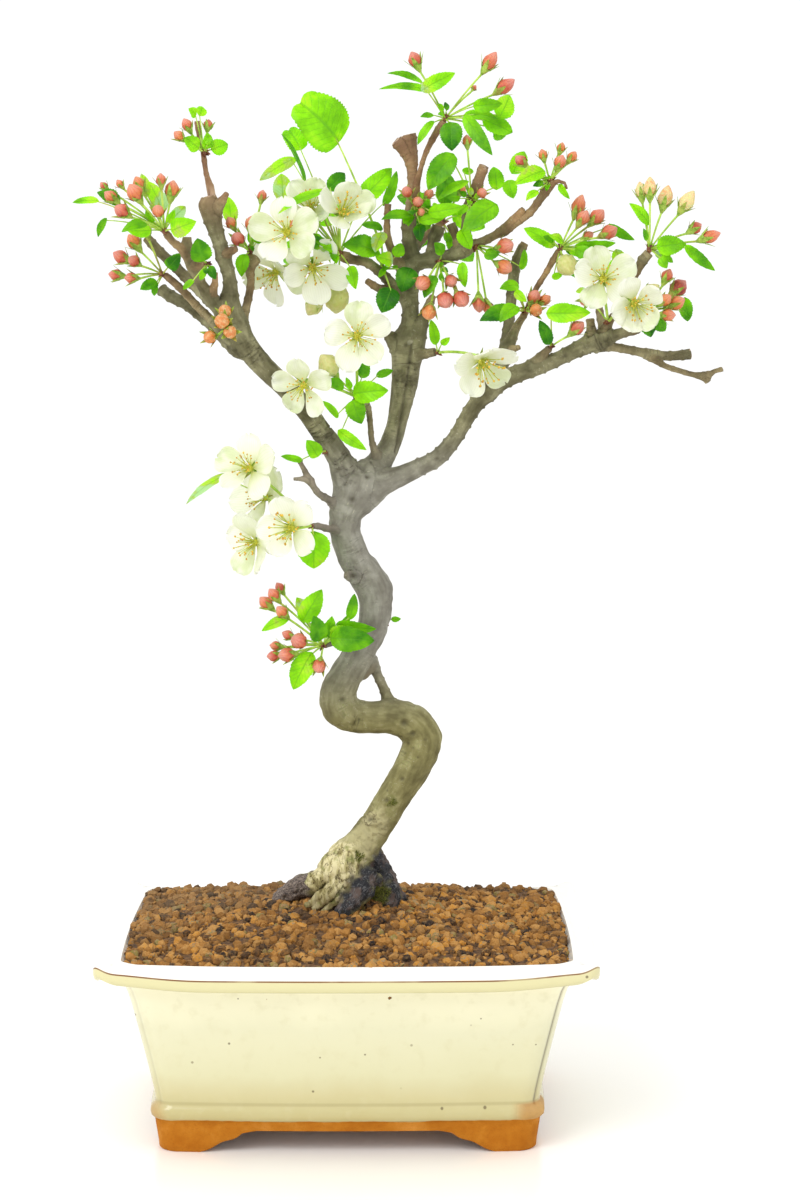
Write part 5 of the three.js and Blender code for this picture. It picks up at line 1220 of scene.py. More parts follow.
def fillerRow(spray, chance):
    # a small leaf that points between two listed ones
    base = spray["base"]
    short = [leaf for leaf in spray["leaves"] if math.dist(leaf[2:4], base[:2]) < leafSize["fillerReach"]]
    first, second = chance.sample(short, 2)
    share, reach = chance.uniform(0.25, 0.75), chance.uniform(0.5, 0.88)
    aim = [first[part] * (1 - share) + second[part] * share for part in (2, 3, 5)]
    tip = [low + (high - low) * reach for low, high in zip(base, aim)]
    start = [low + (high - low) * chance.uniform(0.3, 0.5) for low, high in zip(base, tip)]
    depth = chance.uniform(-5, 5)
    width = (place(*tip) - place(*start)).length * chance.uniform(0.45, 0.65)
    return (start[0], start[1], tip[0], tip[1], start[2] + depth, tip[2] + depth, max(3.4, width),
            chance.uniform(-35, 35))


def makeSpray(name, spray, seed):
    chance = random.Random(seed)
    draft = Draft("tint")
    seat, outward = seatOf(spray["base"])
    leaves, buds, blooms = (spray.get(kind, ()) for kind in ("leaves", "buds", "blooms"))
    addSpur(draft, seat, outward, chance, len(leaves) + len(buds) < 4)
    for rows, add in ((leaves, addLeaf), (buds, addBud), (blooms, addBloomStalk)):
        for row in rows:
            add(draft, seat, row, chance)
    for _ in range(spray.get("fillers", 0)):
        addLeaf(draft, seat, fillerRow(spray, chance), chance)
    # the single leaves on the trunk and on a limb stand for no CAD node
    nodes = [name] if name.startswith("spray") else []
    settle(draft.make(name + "_fine" if nodes else name, sprayFinishes), "leaf_green", *nodes)


for number, (name, spray) in enumerate(sprays.items()):
    makeSpray(name, spray, leafSize["seed"] + number)
print("sprays made")


# The open blooms: five petals each, and a crown of stamens grown by Geometry Nodes
def makePetalFinish():
    finish = Finish("petalSkin")
    lengthwise, sideways = finish.onMap()
    cloudy = finish.noise(160, 3)
    finish.shade = finish.ramp(lengthwise, (0.0, 206, 206, 62), (0.09, 222, 226, 126), (0.22, 240, 243, 204),
                               (0.5, 250, 250, 240), (1.0, 253, 253, 249))
    # painted shade: some petals, in cloudy patches, take the greenish cream that petals show in shade
    paintedPetalShade = finish.fade(finish.value("tint"), 0.25, 1)
    paintedPetalShade = finish.times(paintedPetalShade, finish.fade(cloudy, 0.35, 0.65, 0.2, 0.75))
    finish.paint(paintedPetalShade, (214, 226, 168))
    fan = finish.math("SINE", finish.plus(finish.times(sideways, 74), finish.times(cloudy, 5)))
    veins = finish.fade(fan, 0.55, 1)
    finish.paint(finish.times(veins, 0.22), (206, 214, 170))
    finish.paint(finish.fade(finish.away(sideways, 0.5), 0.44, 0.5, 0, 0.25), (240, 226, 214))
    finish.relief(veins, -0.12, 0.5)
    finish.relief(cloudy, 0.6, 0.5)
    return finish.done(0.6, 0.2, 0.36, (246, 250, 226))


def makeStamenFinish(name, low, high):
    steps = [(0.35, *low), (0.65, *high)]
    return makePlainFinish(name, (900, 2), steps, (4000, 2, 0.1, 0.6), 0.6, through=0.12)


petalFinish = makePetalFinish()
filamentFinish = makeStamenFinish("stamenThread", (186, 196, 56), (222, 228, 112))
antherFinish = makeStamenFinish("stamenTip", (176, 126, 30), (240, 202, 66))
styleFinish = makeStamenFinish("bloomHeart", (196, 196, 44), (236, 228, 88))

petalSize = {"reach": 19.4, "width": 14.4, "rows": 16, "columns": 14, "cup": 4.2, "roll": 0.24,
             "thickness": 0.26, "overlap": 0.12, "ruffle": 0.85, "start": 1.2, "seed": 300}
# Blooms that hang half closed, and how far their petals lean together
closedBlooms = {(481, 361): 0.2, (342, 214): 0.3, (311, 211): 0.35, (292, 528): 0.25, (634, 303): 0.25}
petalForm = [(0, 0.08), (0.06, 0.12), (0.14, 0.26), (0.26, 0.52), (0.4, 0.8), (0.54, 0.96), (0.66, 1),
             (0.78, 0.95), (0.88, 0.79), (0.95, 0.55), (1, 0.18)]


def makePetals(name, row, seed):
    chance = random.Random(seed)
    draft = Draft("tint")
    middle, facing, first, share = bloomSeat(row)
    second = facing.cross(first)
    for count in range(5):
        turn = math.tau * count / 5 + chance.uniform(-0.12, 0.12)
        flat = circling(first, second, turn)
        side = flat.cross(facing)
        lean = closedBlooms.get(row[:2], 0) + chance.uniform(-0.1, 0.3)
        out = flat * math.cos(lean) + facing * math.sin(lean)
        rise = facing * math.cos(lean) - flat * math.sin(lean)
        reach = petalSize["reach"] * share * chance.uniform(0.9, 1.02)
        half = petalSize["width"] * share / 2 * chance.uniform(0.86, 1.08)
        cup, roll = petalSize["cup"] * chance.uniform(0.3, 1.6), petalSize["roll"] * chance.uniform(0.3, 1.9)
        phase, notch, curl = chance.random() * 6, chance.uniform(0.0, 0.08), chance.uniform(-3, 2)
        swing = chance.uniform(-1.4, 1.4)

        def spotAt(length, sideways):
            wide = half * along(petalForm, length) * sideways
            onward = petalSize["start"] + (reach - petalSize["start"]) * length
            wide += swing * length * length
            onward -= notch * reach * (1 - min(1, abs(sideways) * 2.2)) * fade(0.8, 1, length)
            height = cup * length * length + roll * abs(wide) - petalSize["overlap"] * wide
            height += curl * fade(0.6, 1, length)
            edge = abs(sideways) ** 2 * 0.6 + fade(0.6, 1, length) * 0.6
            height += petalSize["ruffle"] * edge * math.sin(7 * length + 5 * sideways + phase)
            return middle + out * onward + side * wide + rise * height

        def at(length, sideways):
            step = 0.02
            low, high = max(0, length - step), min(1, length + step)
            left, right = max(-1, sideways - step), min(1, sideways + step)
            lengthwise = spotAt(high, sideways) - spotAt(low, sideways)
            across = spotAt(length, right) - spotAt(length, left)
            return spotAt(length, sideways), across.cross(lengthwise).normalized()

        draft.sheet(at, petalSize["rows"], petalSize["columns"], petalSize["thickness"], tint=chance.random())
    settle(draft.make(name + "_fine", [petalFinish], 70), "petal_white", name)


class NodeTree(Nodes):
    # a Geometry Nodes tree with named inputs; its result is joined, made real and given its finish
    def __init__(self, name):
        super().__init__(bpy.data.node_groups.new(name, "GeometryNodeTree"))
        self.tree.interface.new_socket("Geometry", in_out="INPUT", socket_type="NodeSocketGeometry")
        self.tree.interface.new_socket("Geometry", in_out="OUTPUT", socket_type="NodeSocketGeometry")
        self.entry = self.tree.nodes.new("NodeGroupInput")
        self.exit = self.tree.nodes.new("NodeGroupOutput")
        self.names = {}

    def input(self, name, kind="Float"):
        socket = self.tree.interface.new_socket(name, in_out="INPUT", socket_type="NodeSocket" + kind)
        self.names[name] = socket.identifier
        return next(output for output in self.entry.outputs if output.identifier == socket.identifier)

    def chance(self, low, high, seed, mark):
        # a random number, or a vector when low and high are vectors, for each point
        first, result, kind = (0, 0, "FLOAT_VECTOR") if isinstance(low, tuple) else (2, 1, "FLOAT")
        inputs = {first: low, first + 1: high, "ID": self.add("GeometryNodeInputIndex"),
                  "Seed": self.plus(seed, float(mark))}
        return self.add("FunctionNodeRandomValue", inputs, result, data_type=kind)

    def vector(self, x=0.0, y=0.0, z=0.0):
        return self.add("ShaderNodeCombineXYZ", {0: x, 1: y, 2: z})

    def turned(self, rotation, by):
        # a rotation with another one done before it
        inputs = {"Rotation": rotation, "Rotate By": by}
        return self.add("FunctionNodeRotateRotation", inputs, rotation_space="LOCAL")

    def join(self, *parts):
        joined = self.add("GeometryNodeJoinGeometry")
        for part in parts:
            self.feed(joined.node.inputs[0], part)
        return joined

    def strew(self, where, thick, seed):
        # points on the chosen faces of the surface, and how each one is turned
        inputs = {"Mesh": self.entry.outputs[0], "Selection": where, "Density": thick, "Seed": seed}
        points = self.add("GeometryNodeDistributePointsOnFaces", inputs)
        return points, points.node.outputs["Rotation"]

    def tinted(self, shape, seed):
        inputs = {"Geometry": shape, "Name": "tint", "Value": self.chance(0.0, 1.0, seed, 4)}
        return self.add("GeometryNodeStoreNamedAttribute", inputs, data_type="FLOAT", domain="INSTANCE")

    def finish(self, shape, material, tipMaterial=None):
        # faces marked isTip take the second material
        shape = self.add("GeometryNodeRealizeInstances", {0: shape})
        shape = self.add("GeometryNodeSetMaterial", {"Geometry": shape, "Material": material})
        if tipMaterial:
            isTip = self.add("GeometryNodeInputNamedAttribute", {"Name": "isTip"}, data_type="BOOLEAN")
            shape = self.add("GeometryNodeSetMaterial", {"Geometry": shape, "Selection": isTip,
                                                         "Material": tipMaterial})
        self.tree.links.new(shape, self.exit.inputs[0])

    def grow(self, piece, **values):
        # run the tree on a piece and keep the plain mesh
        modifier = piece.modifiers.new(self.tree.name, "NODES")
        modifier.node_group = self.tree
        for name, value in values.items():
            modifier[self.names[name]] = value
        bake(piece)


def stamenTree():
    # threads in a crown round the middle, each bowed outward and ending in a small tip
    tree = NodeTree("stamenCrown")
    count, length = tree.input("count", "Int"), tree.input("length")
    spread, seed = tree.input("spread"), tree.input("seed", "Int")
    turn, middle = tree.input("turn", "Rotation"), tree.input("middle", "Vector")
    arc = tree.add("GeometryNodeCurveQuadraticBezier", {
        "Resolution": 4, "Start": (0, 0, 0), "Middle": (0.03, 0, 0.6), "End": (0.2, 0, 1)})
    ring = tree.add("GeometryNodeCurvePrimitiveCircle", {"Resolution": 4, "Radius": 0.02})
    thread = tree.add("GeometryNodeCurveToMesh", {"Curve": arc, "Profile Curve": ring, "Fill Caps": True})
    ball = tree.add("GeometryNodeMeshUVSphere", {"Segments": 6, "Rings": 4, "Radius": 0.072})
    tip = tree.add("GeometryNodeTransform", {
        "Geometry": ball, "Translation": (0.21, 0, 1.02), "Scale": (1, 0.75, 0.8)})
    tip = tree.add("GeometryNodeStoreNamedAttribute", {"Geometry": tip, "Name": "isTip", "Value": True},
                   data_type="BOOLEAN", domain="FACE")
    stamen = tree.join(thread, tip)
    points = tree.add("GeometryNodePoints", {"Count": count, "Radius": 0.0001})
    number = tree.add("GeometryNodeInputIndex")
    angle = tree.plus(tree.times(number, 2.39996), tree.chance(-0.25, 0.25, seed, 1))
    root = tree.times(tree.chance(0.1, 0.22, seed, 2), length)
    across = tree.times(root, tree.math("COSINE", angle))
    upAcross = tree.times(root, tree.math("SINE", angle))
    crownSpot = tree.vector(across, upAcross)
    points = tree.add("GeometryNodeSetPosition", {"Geometry": points, "Position": crownSpot})
    lean = tree.times(tree.chance(0.0, 1.0, seed, 3), spread)
    # lean outward first, then turn about the middle line
    tilt = tree.add("FunctionNodeEulerToRotation", {0: tree.vector(0.0, lean, 0.0)})
    spin = tree.add("FunctionNodeEulerToRotation", {0: tree.vector(0.0, 0.0, angle)})
    way = tree.turned(spin, tilt)
    size = tree.times(tree.chance(0.72, 1.06, seed, 4), length)
    crown = tree.add("GeometryNodeInstanceOnPoints", {
        "Points": points, "Instance": stamen, "Rotation": way, "Scale": tree.vector(size, size, size)})
    placed = tree.add("GeometryNodeTransform", {"Geometry": crown, "Translation": middle, "Rotation": turn})
    tree.finish(placed, filamentFinish, antherFinish)
    return tree


stamenSize = {"count": 22, "length": 9.4, "spread": 0.6, "lift": 1.0, "heart": 1.9, "styles": 5, "style": 6.0,
              "styleLean": 1.6, "seed": 500}
heartForm = [(-0.5, 0.9), (-0.1, 1.0), (0.25, 0.8), (0.45, 0.3)]
styleRadii = [0.24, 0.2, 0.18, 0.18, 0.34]
stamenCrown = stamenTree()


def makeStamens(name, row, seed):
    chance = random.Random(seed)
    middle, facing, first, share = bloomSeat(row)
    second = facing.cross(first)
    foot = middle + facing * stamenSize["lift"]
    turn = Matrix((first, second, facing)).transposed().to_quaternion()
    isClosed = row[:2] in closedBlooms
    crown = addPiece(name + "_crown", bpy.data.meshes.new(name + "_crown"))
    length = stamenSize["length"] * share * (1.25 if isClosed else 1) * millimetre
    spread = stamenSize["spread"] * chance.uniform(0.8, 1.2) * (0.7 if isClosed else 1)
    stamenCrown.grow(crown, count=stamenSize["count"], length=length, spread=spread, seed=seed,
                     turn=turn.to_euler(), middle=toMetres(foot))
    settle(crown, "stamen_yellow", name)
    draft = Draft("tint")
    addLathe(draft, foot, facing, stamenSize["heart"], heartForm, 12, 0, 0.05, 5)
    for count in range(stamenSize["styles"]):
        angle = math.tau * count / stamenSize["styles"] + 0.3
        out = circling(first, second, angle)
        end = foot + facing * stamenSize["style"] * share + out * stamenSize["styleLean"]
        draft.tube(bowed(foot + out * 0.3, end, 4, 0), styleRadii, 5)
    settle(draft.make(name + "_heart", [styleFinish]), "stamen_yellow", name)


blooms = [row for spray in sprays.values() for row in spray.get("blooms", ())]
for number, row in enumerate(blooms, 1):
    makePetals(f"bloom_{number:02d}_petals", row, petalSize["seed"] + number)
    makeStamens(f"bloom_{number:02d}_stamens", row, stamenSize["seed"] + number)
print("blooms made", len(blooms))


# The pot: glazed outside and on the rim, bare clay on its feet
potSize = {"length": 250, "depth": 194, "height": 100, "bow": 4, "cornerLift": 3.2, "cornerTip": 2.4,
           "cornerRadius": 11, "lipCorner": 7, "slopeShare": 0.76, "footLength": 191, "footWall": 9,
           "footHeight": 12, "archTop": 17, "longSteps": 84, "shortSteps": 60, "cornerSteps": 20,
           "drainRadius": 8, "drainApart": 100, "archFront": 60, "archSide": 43, "groove": 0.4,
           "grooveWidth": 0.8, "unevenness": 0.35, "wallFrom": 24, "wallTo": 92, "liftReach": 60,
           "tipReach": 12, "brownLine": 98.6}
# Height and half length up the outside, over the rim and down the inside; a third value lifts the corners
potOutside = [(0, 94.6, 0), (0.8, 95.3, 0), (4, 95.6, 0), (9, 96.3, 0), (13, 96.9, 0), (16.2, 97.2, 0),
              (16.9, 98.0, 0), (18, 99.0, 0), (20, 99.3, 0), (22, 99.0, 0), (23.4, 98.1, 0), (24.4, 97.2, 0),
              (26, 97.0, 0), (32, 98.0, 0), (40, 99.6, 0), (50, 101.7, 0), (60, 103.9, 0), (70, 106.2, 0),
              (78, 108.1, 0), (84, 110.0, 0.1), (88, 112.4, 0.3), (91, 115.6, 0.6), (93, 119.4, 0.85),
              (94.2, 123.2, 1), (95, 124.3, 1), (96.4, 124.9, 1), (97.9, 125, 1), (98.6, 124.95, 1),
              (99.3, 124.75, 1), (99.8, 124.2, 1), (100, 123.2, 1)]
potRim = [(99.9, 121.5, 0.9), (99.7, 118, 0.6), (99.6, 115, 0.4), (99.5, 113.6, 0.25), (98.9, 112.5, 0.15)]
# How far the rim slopes down to its outer edge, by height and by half length
rimFall = [(80, 0), (92, 6.2), (95, 6.3), (98, 4.8), (100, 4.5)]
rimSlope = [(112.5, 0), (121.5, 6.3)]
potInside = [(97.5, 111.9), (94, 110), (88, 107), (70, 102), (50, 96.5), (30, 91), (20, 88.2)]
# Small specks in the glaze as across, down and size
glazeMarks = [(134, 1018, 1.5), (229, 1044, 1.5), (313, 1092, 1.5), (320, 1058, 1.1), (365, 1055, 1.2),
              (379, 992, 1.3), (485, 1108, 2), (587, 977, 1.8), (442, 1109, 1.8), (481, 1019, 1),
              (238, 999, 1), (513, 1045, 1), (536, 1045, 1)]
# Where glaze is thin above the front feet: place, where that starts, where it is full, and its share
thinGlaze = [((97, -70, 19), 18, 10, 0.6), ((-97, -70, 17), 12, 4, 0.4)]
# The stepped opening between two feet: distance past its half span, and height
archForm = [(-14, 11.3), (-7, 9.9), (-4, 7.2), (3, 5.4), (9, 1.7), (14, 0)]


def potRing(half):
    # one loop round the pot: places from the middle and how far each is from the line of its corner
    halfDepth = potSize["depth"] / 2 - (potSize["length"] / 2 - half) * potSize["slopeShare"]
    radius = along([(112, potSize["cornerRadius"]), (123, potSize["lipCorner"])], half)
    bow = potSize["bow"] * half / (potSize["length"] / 2)
    longSide = (half, halfDepth, bow, potSize["longSteps"])
    shortSide = (halfDepth, half, bow / 2, potSize["shortSteps"])
    sides = [((0, -1), longSide), ((1, 0), shortSide), ((0, 1), longSide), ((-1, 0), shortSide)]
    ring = []
    for (outX, outY), (reach, away, swell, steps) in sides:
        onX, onY = -outY, outX
        straight = reach - radius
        for step in range(steps):
            t = 2 * step / steps - 1
            share = t * (1.5 - 0.5 * t * t)
            out = away + swell * (1 - share * share)
            ring.append((outX * out + onX * straight * share, outY * out + onY * straight * share,
                         (1 - abs(share)) * straight + radius * math.pi / 4))
        for step in range(potSize["cornerSteps"]):
            angle = step / potSize["cornerSteps"] * math.pi / 2
            x = straight + radius * math.sin(angle)
            y = away - radius + radius * math.cos(angle)
            ring.append((outX * y + onX * x, outY * y + onY * x, radius * abs(angle - math.pi / 4)))
    return ring


def archHeight(x, y):
    # how high the openings under the long and the short sides reach at a spot
    return along(archForm, abs(x) - potSize["archFront"]), along(archForm, abs(y) - potSize["archSide"])


def onFront(across, down):
    # the place on the pot's front wall that shows at a spot of the front view
    depth = -90
    for _ in range(4):
        spot = place(across, down, depth)
        half = along([row[:2] for row in potOutside], spot.z)
        depth = (potSize["length"] / 2 - half) * potSize["slopeShare"] - potSize["depth"] / 2
        depth -= potSize["bow"] * (1 - (spot.x / half) ** 2)
    return place(across, down, depth)


def makePotFinish():
    finish = Finish("potGlaze")
    z = finish.times(finish.axis(2), 1000)
    cloudy, fine, grit = finish.noise(28, 4), finish.noise(160, 4), finish.noise(1500, 3)
    level = finish.plus(z, finish.fade(cloudy, 0.3, 0.7, -2.2, 2.2))
    level = finish.math("DIVIDE", level, potSize["height"])
    # darker toward the foot of the wall and paler toward the rim; just under the lip the glaze is painted
    # palest, a painted highlight that makes up for the shade the lip casts there
    finish.shade = finish.ramp(level, (0.17, 186, 173, 119), (0.22, 191, 181, 131), (0.3, 202, 193, 146),
                               (0.42, 213, 209, 170), (0.65, 220, 217, 184), (0.78, 236, 232, 200),
                               (0.88, 244, 239, 207))
    finish.paint(finish.fade(fine, 0.5, 0.75, 0, 0.25), (204, 197, 154))
    specks = finish.times(finish.fade(finish.cells(95), 0.05, 0.09, 1, 0), finish.fade(cloudy, 0.56, 0.62))
    finish.paint(finish.times(specks, 0.6), (110, 92, 56))
    # the lip is a little yellower, the rim's top white, with a thin brown line between them
    rim = finish.value("rim")
    finish.paint(finish.fade(rim, 0, 0.5), (215, 208, 160))
    # painted shadow: a thin darker line just below the lip, where the lip shades the wall
    paintedLipShadow = finish.times(finish.fade(rim, 0.0, 0.12), finish.fade(rim, 0.2, 0.34, 1, 0))
    finish.paint(finish.times(paintedLipShadow, 0.4), (150, 140, 96))
    finish.paint(finish.fade(rim, 0.6, 0.8), (244, 241, 232))
    edge = finish.fade(finish.value("rimEdge"), 0.3, 0.8)
    finish.paint(finish.times(edge, finish.cloud(45, 4, 0.35, 0.6, 0.55, 1)), (120, 72, 30))
    # painted shade: the grooves at the corners are painted darker, more on the right, away from the key
    # light, than on the left
    groove = finish.times(finish.value("groove"), finish.fade(finish.axis(0), -0.09, -0.03, 0.15, 0.8))
    finish.paint(groove, (98, 90, 70))
    # painted shade: a darker line where the foot of the wall meets the ledge
    finish.paint(finish.fade(finish.away(z, 25.4), 0.3, 1.3, 0.4, 0), (160, 148, 98))
    flat = finish.add("ShaderNodeVectorMath", {0: finish.spot, 1: (1, 0, 1)}, operation="MULTIPLY")
    for across, down, size in glazeMarks:
        where = toMetres(onFront(across, down))
        apart = finish.apart(flat, (where.x, 0, where.z))
        speck = finish.fade(apart, size * 0.25 * millimetre, size * 0.55 * millimetre, 0.8, 0)
        finish.paint(speck, (104, 90, 60))
    # the feet are bare clay
    bareEdge = finish.plus(z, finish.cloud(60, 3, 0.3, 0.7, -0.5, 0.5))
    bare = finish.most(finish.fade(bareEdge, 16.6, 17.4, 1, 0), finish.value("bare"))
    clay = finish.ramp(finish.noise(60, 5, rough=0.6), (0.3, 164, 94, 14), (0.5, 182, 113, 28),
                       (0.7, 204, 138, 56))
    clay = finish.mix(finish.fade(grit, 0.55, 0.7, 0, 0.25), clay, (126, 68, 14))
    # painted shade: where the inner walls of the feet show under the arch they take a flat mauve-grey, the
    # look of the clay in the shade under the pot, painted paler than that shade alone would leave it
    paintedShadeUnderArch = finish.mix(finish.fade(fine, 0.3, 0.7), (166, 142, 134), (200, 178, 170))
    finish.paint(bare, finish.mix(finish.value("under"), clay, paintedShadeUnderArch))
    finish.relief(finish.noise(60, 3), 0.5, 0.5)
    finish.relief(finish.times(grit, bare), 0.2, 0.8)
    return finish.done(finish.fade(bare, 0, 1, 0.16, 0.85), finish.fade(bare, 0, 1, 0.5, 0.15))


potFinish = makePotFinish()


def makePot():
    draft = Draft("rimEdge", "groove", "bare", "rim", "under")
    rings = []

    def addRing(height, halfLength, lift=0.0, isFoot=False, top=0.0, rim=0.0, under=0.0):
        ring = []
        for x, y, fromCorner in potRing(halfLength):
            z = height + lift * potSize["cornerLift"] * fade(potSize["liftReach"], 0, fromCorner) ** 1.5
            z += lift * potSize["cornerTip"] * fade(potSize["tipReach"], 0, fromCorner) ** 2
            z -= min(along(rimFall, height), along(rimSlope, halfLength))
            if height < top:
                atFront, atSide = archHeight(x, y)
                arch = max(atFront if abs(y) > abs(x) * 0.75 else 0, atSide if abs(x) > abs(y) * 0.75 else 0)
                z = arch + z * (top - arch) / top
            spot = Vector((x, y, z))
            out = Vector((x, y, 0)).normalized()
            groove = 0.0
            if potSize["wallFrom"] < height < potSize["wallTo"] and not isFoot:
                groove = math.exp(-(fromCorner / potSize["grooveWidth"]) ** 2)
                spot -= out * (potSize["groove"] * groove)
                spot += out * (potSize["unevenness"] * noise.noise(spot / 30))
            edge = float(height == potSize["brownLine"])
            bare = 0.0
            if height < 26 and y < -55:
                bare = max(share * fade(start, full, (spot - Vector(middle)).length)
                           for middle, start, full, share in thinGlaze)
            onMap = (fromCorner / 100, height / 100)
            ring.append(draft.point(spot, onMap, rimEdge=edge, groove=groove, bare=bare, rim=rim,
                                    under=under))
        rings.append(ring)

    recess = potSize["footLength"] / 2 - potSize["footWall"]
    for height, halfLength in ((potSize["footHeight"], recess - 0.8), (6, recess - 0.4), (0.8, recess - 0.1),
                               (0, recess + 0.7)):
        addRing(height, halfLength, isFoot=True, top=potSize["archTop"] if height < 12 else 0, under=1)
    for height, halfLength, lift in potOutside:
        addRing(height, halfLength, lift, height < potSize["wallFrom"], potSize["archTop"],
                along([(93, 0), (94.2, 0.5), (98.6, 0.5), (99.3, 1)], height))
    for height, halfLength, lift in potRim + [(*row, 0) for row in potInside]:
        addRing(height, halfLength, lift, rim=1)
    draft.skin(rings)
    piece = draft.make("potGlazed", [potFinish], 48)
    cutters = []
    for sign in (-1, 1):
        cutter = Draft()
        x = sign * potSize["drainApart"] / 2
        cutter.tube([Vector((x, 0, z)) for z in (5, 16, 40)], [potSize["drainRadius"]] * 3, 32)
        cutters.append(cutter.make("drain", [potFinish]))
        hole = piece.modifiers.new("drainHole", "BOOLEAN")
        hole.operation = "DIFFERENCE"
        hole.object = cutters[-1]
    bake(piece)
    for cutter in cutters:
        bpy.data.objects.remove(cutter)
    settle(piece, "glazed_clay", "pot")


makePot()
print("pot made")


# The soil: a mounded bed with loose baked-clay granules on it, scattered by Geometry Nodes
def makeGranuleFinish():
    finish = Finish("soilGranules")
    fine = finish.noise(900, 4)
    varied = finish.plus(finish.value("tint"), finish.fade(fine, 0.3, 0.7, -0.08, 0.08))
    finish.shade = finish.ramp(varied, (0.0, 36, 32, 32), (0.07, 70, 54, 40), (0.16, 114, 80, 44),
                               (0.36, 146, 102, 50), (0.55, 164, 116, 58), (0.74, 182, 138, 80),
                               (0.86, 190, 130, 44), (0.94, 150, 126, 96), (1.0, 132, 118, 62))
    finish.paint(finish.cloud(300, 3, 0.5, 0.72, 0, 0.4), (178, 140, 88))
    # some stretches of the bed are moister and darker
    finish.paint(finish.cloud(34, 2, 0.52, 0.64, 0, 0.4), (92, 66, 40))
    # greyer toward the back and the left
    backward = finish.minus(finish.axis(1), finish.times(finish.axis(0), 0.5))
    finish.paint(finish.fade(backward, 0.0, 0.12, 0, 0.4), (126, 106, 82))
    finish.relief(finish.noise(420, 2), 0.7, 0.8)
    finish.relief(fine, 0.35, 0.9)
    return finish.done(0.92, 0.2)


granuleFinish = makeGranuleFinish()
# painted shade: the bed is a darker brown than the granules, so that where it shows between them it stands in
# for the shade in the gaps
bedFinish = makePlainFinish("soilBed", (420, 4), [(0.35, 62, 42, 24), (0.65, 122, 88, 52)],
                            (500, 3, 1.2, 1), 0.95)
mossFinish = makePlainFinish("mossTufts", "tint",
                             [(0.0, 66, 74, 22), (0.5, 112, 118, 36), (1.0, 150, 150, 62)],
                             (2500, 2, 0.1, 0.5), 0.8, through=0.2)
soilSize = {"edgeBelowRim": 3.6, "mound": 8, "backRise": 3, "inset": 1.2, "rings": 30, "grain": 1.2,
            "seed": 4, "perSquareMetre": 84000.0, "smallest": 1.2, "largest": 3.7, "heap": 4.5,
            "heapRadius": 26, "halfLength": 111, "footHalfLength": 105, "footHeight": 80, "closing": 0.985}
heapMiddle = place(346, 900, 0)


def soilHeight(x, y):
    share = min(1, math.hypot(2 * x / potSize["length"], 2 * y / potSize["depth"]))
    top = potSize["height"] - soilSize["edgeBelowRim"] + soilSize["mound"] * (1 - share * share)
    # the grains are heaped round the foot of the trunk
    away = math.hypot(x - heapMiddle.x, y - heapMiddle.y) / soilSize["heapRadius"]
    top += soilSize["heap"] * math.exp(-away * away)
    return top + soilSize["backRise"] * (0.5 + y / potSize["depth"])


def makeBed():
    # the bed's top is made of loops that shrink to the middle; its skirt and foot are hidden in the pot
    draft = Draft()
    outline, foot = potRing(soilSize["halfLength"])[::2], potRing(soilSize["footHalfLength"])[::2]
    rows = [[draft.point(Vector((x, y, soilSize["footHeight"]))) for x, y, _ in foot]]
    for ring in range(soilSize["rings"] + 1):
        share = 1 - ring / soilSize["rings"] * soilSize["closing"]
        share *= 1 - soilSize["inset"] / soilSize["halfLength"]
        row = []
        for x, y, _ in outline:
            spot = Vector((x * share, y * share, soilHeight(x * share, y * share)))
            spot.z += soilSize["grain"] * (noise.noise(spot / 7) + 0.6 * noise.noise(spot / 3))
            row.append(draft.point(spot))
        rows.append(row)
    draft.skin(rows)
    bed = draft.make("soilBed", [bedFinish], 180)
    settle(bed, "soil_grains", "soil")
    return bed


def scatterTree():
    # uneven grains laid over the upward faces of a surface
    tree = NodeTree("looseGranules")
    thick, seed = tree.input("perSquareMetre"), tree.input("seed", "Int")
    smallest, largest = tree.input("smallest"), tree.input("largest")
    finish = tree.input("finish", "Material")
    up = tree.add("ShaderNodeSeparateXYZ", {0: tree.add("GeometryNodeInputNormal")}, 2)
    isTop = tree.add("FunctionNodeCompare", {0: up, 1: 0.4}, operation="GREATER_THAN")
    spots, _ = tree.strew(isTop, thick, seed)
    grain = tree.add("GeometryNodeMeshUVSphere", {"Segments": 6, "Rings": 4, "Radius": 1.0})
    draw = tree.chance(0.0, 1.0, seed, 1)
    draw = tree.math("POWER", draw, 1.8)
    size = tree.add("ShaderNodeMapRange", {"Value": draw, "To Min": smallest, "To Max": largest})
    turn = tree.chance((0, 0, 0), (6.28, 6.28, 6.28), seed, 2)
    squash = tree.chance((0.72, 0.72, 0.62), (1.15, 1.15, 1.0), seed, 3)
    scale = tree.add("ShaderNodeVectorMath", {0: squash, 3: size}, operation="SCALE")
    laid = tree.add("GeometryNodeInstanceOnPoints", {
        "Points": spots, "Instance": grain, "Rotation": turn, "Scale": scale})
    real = tree.add("GeometryNodeRealizeInstances", {0: tree.tinted(laid, seed)})
    # each grain gets its own lumps
    lumps = tree.add("ShaderNodeTexNoise", {"Scale": 260.0}, 1)
    shift = tree.add("ShaderNodeVectorMath", {0: lumps, 1: (0.5, 0.5, 0.5)}, operation="SUBTRACT")
    shift = tree.add("ShaderNodeVectorMath", {0: shift, 3: 0.0036}, operation="SCALE")
    uneven = tree.add("GeometryNodeSetPosition", {"Geometry": real, "Offset": shift})
    tree.finish(uneven, finish)
    return tree


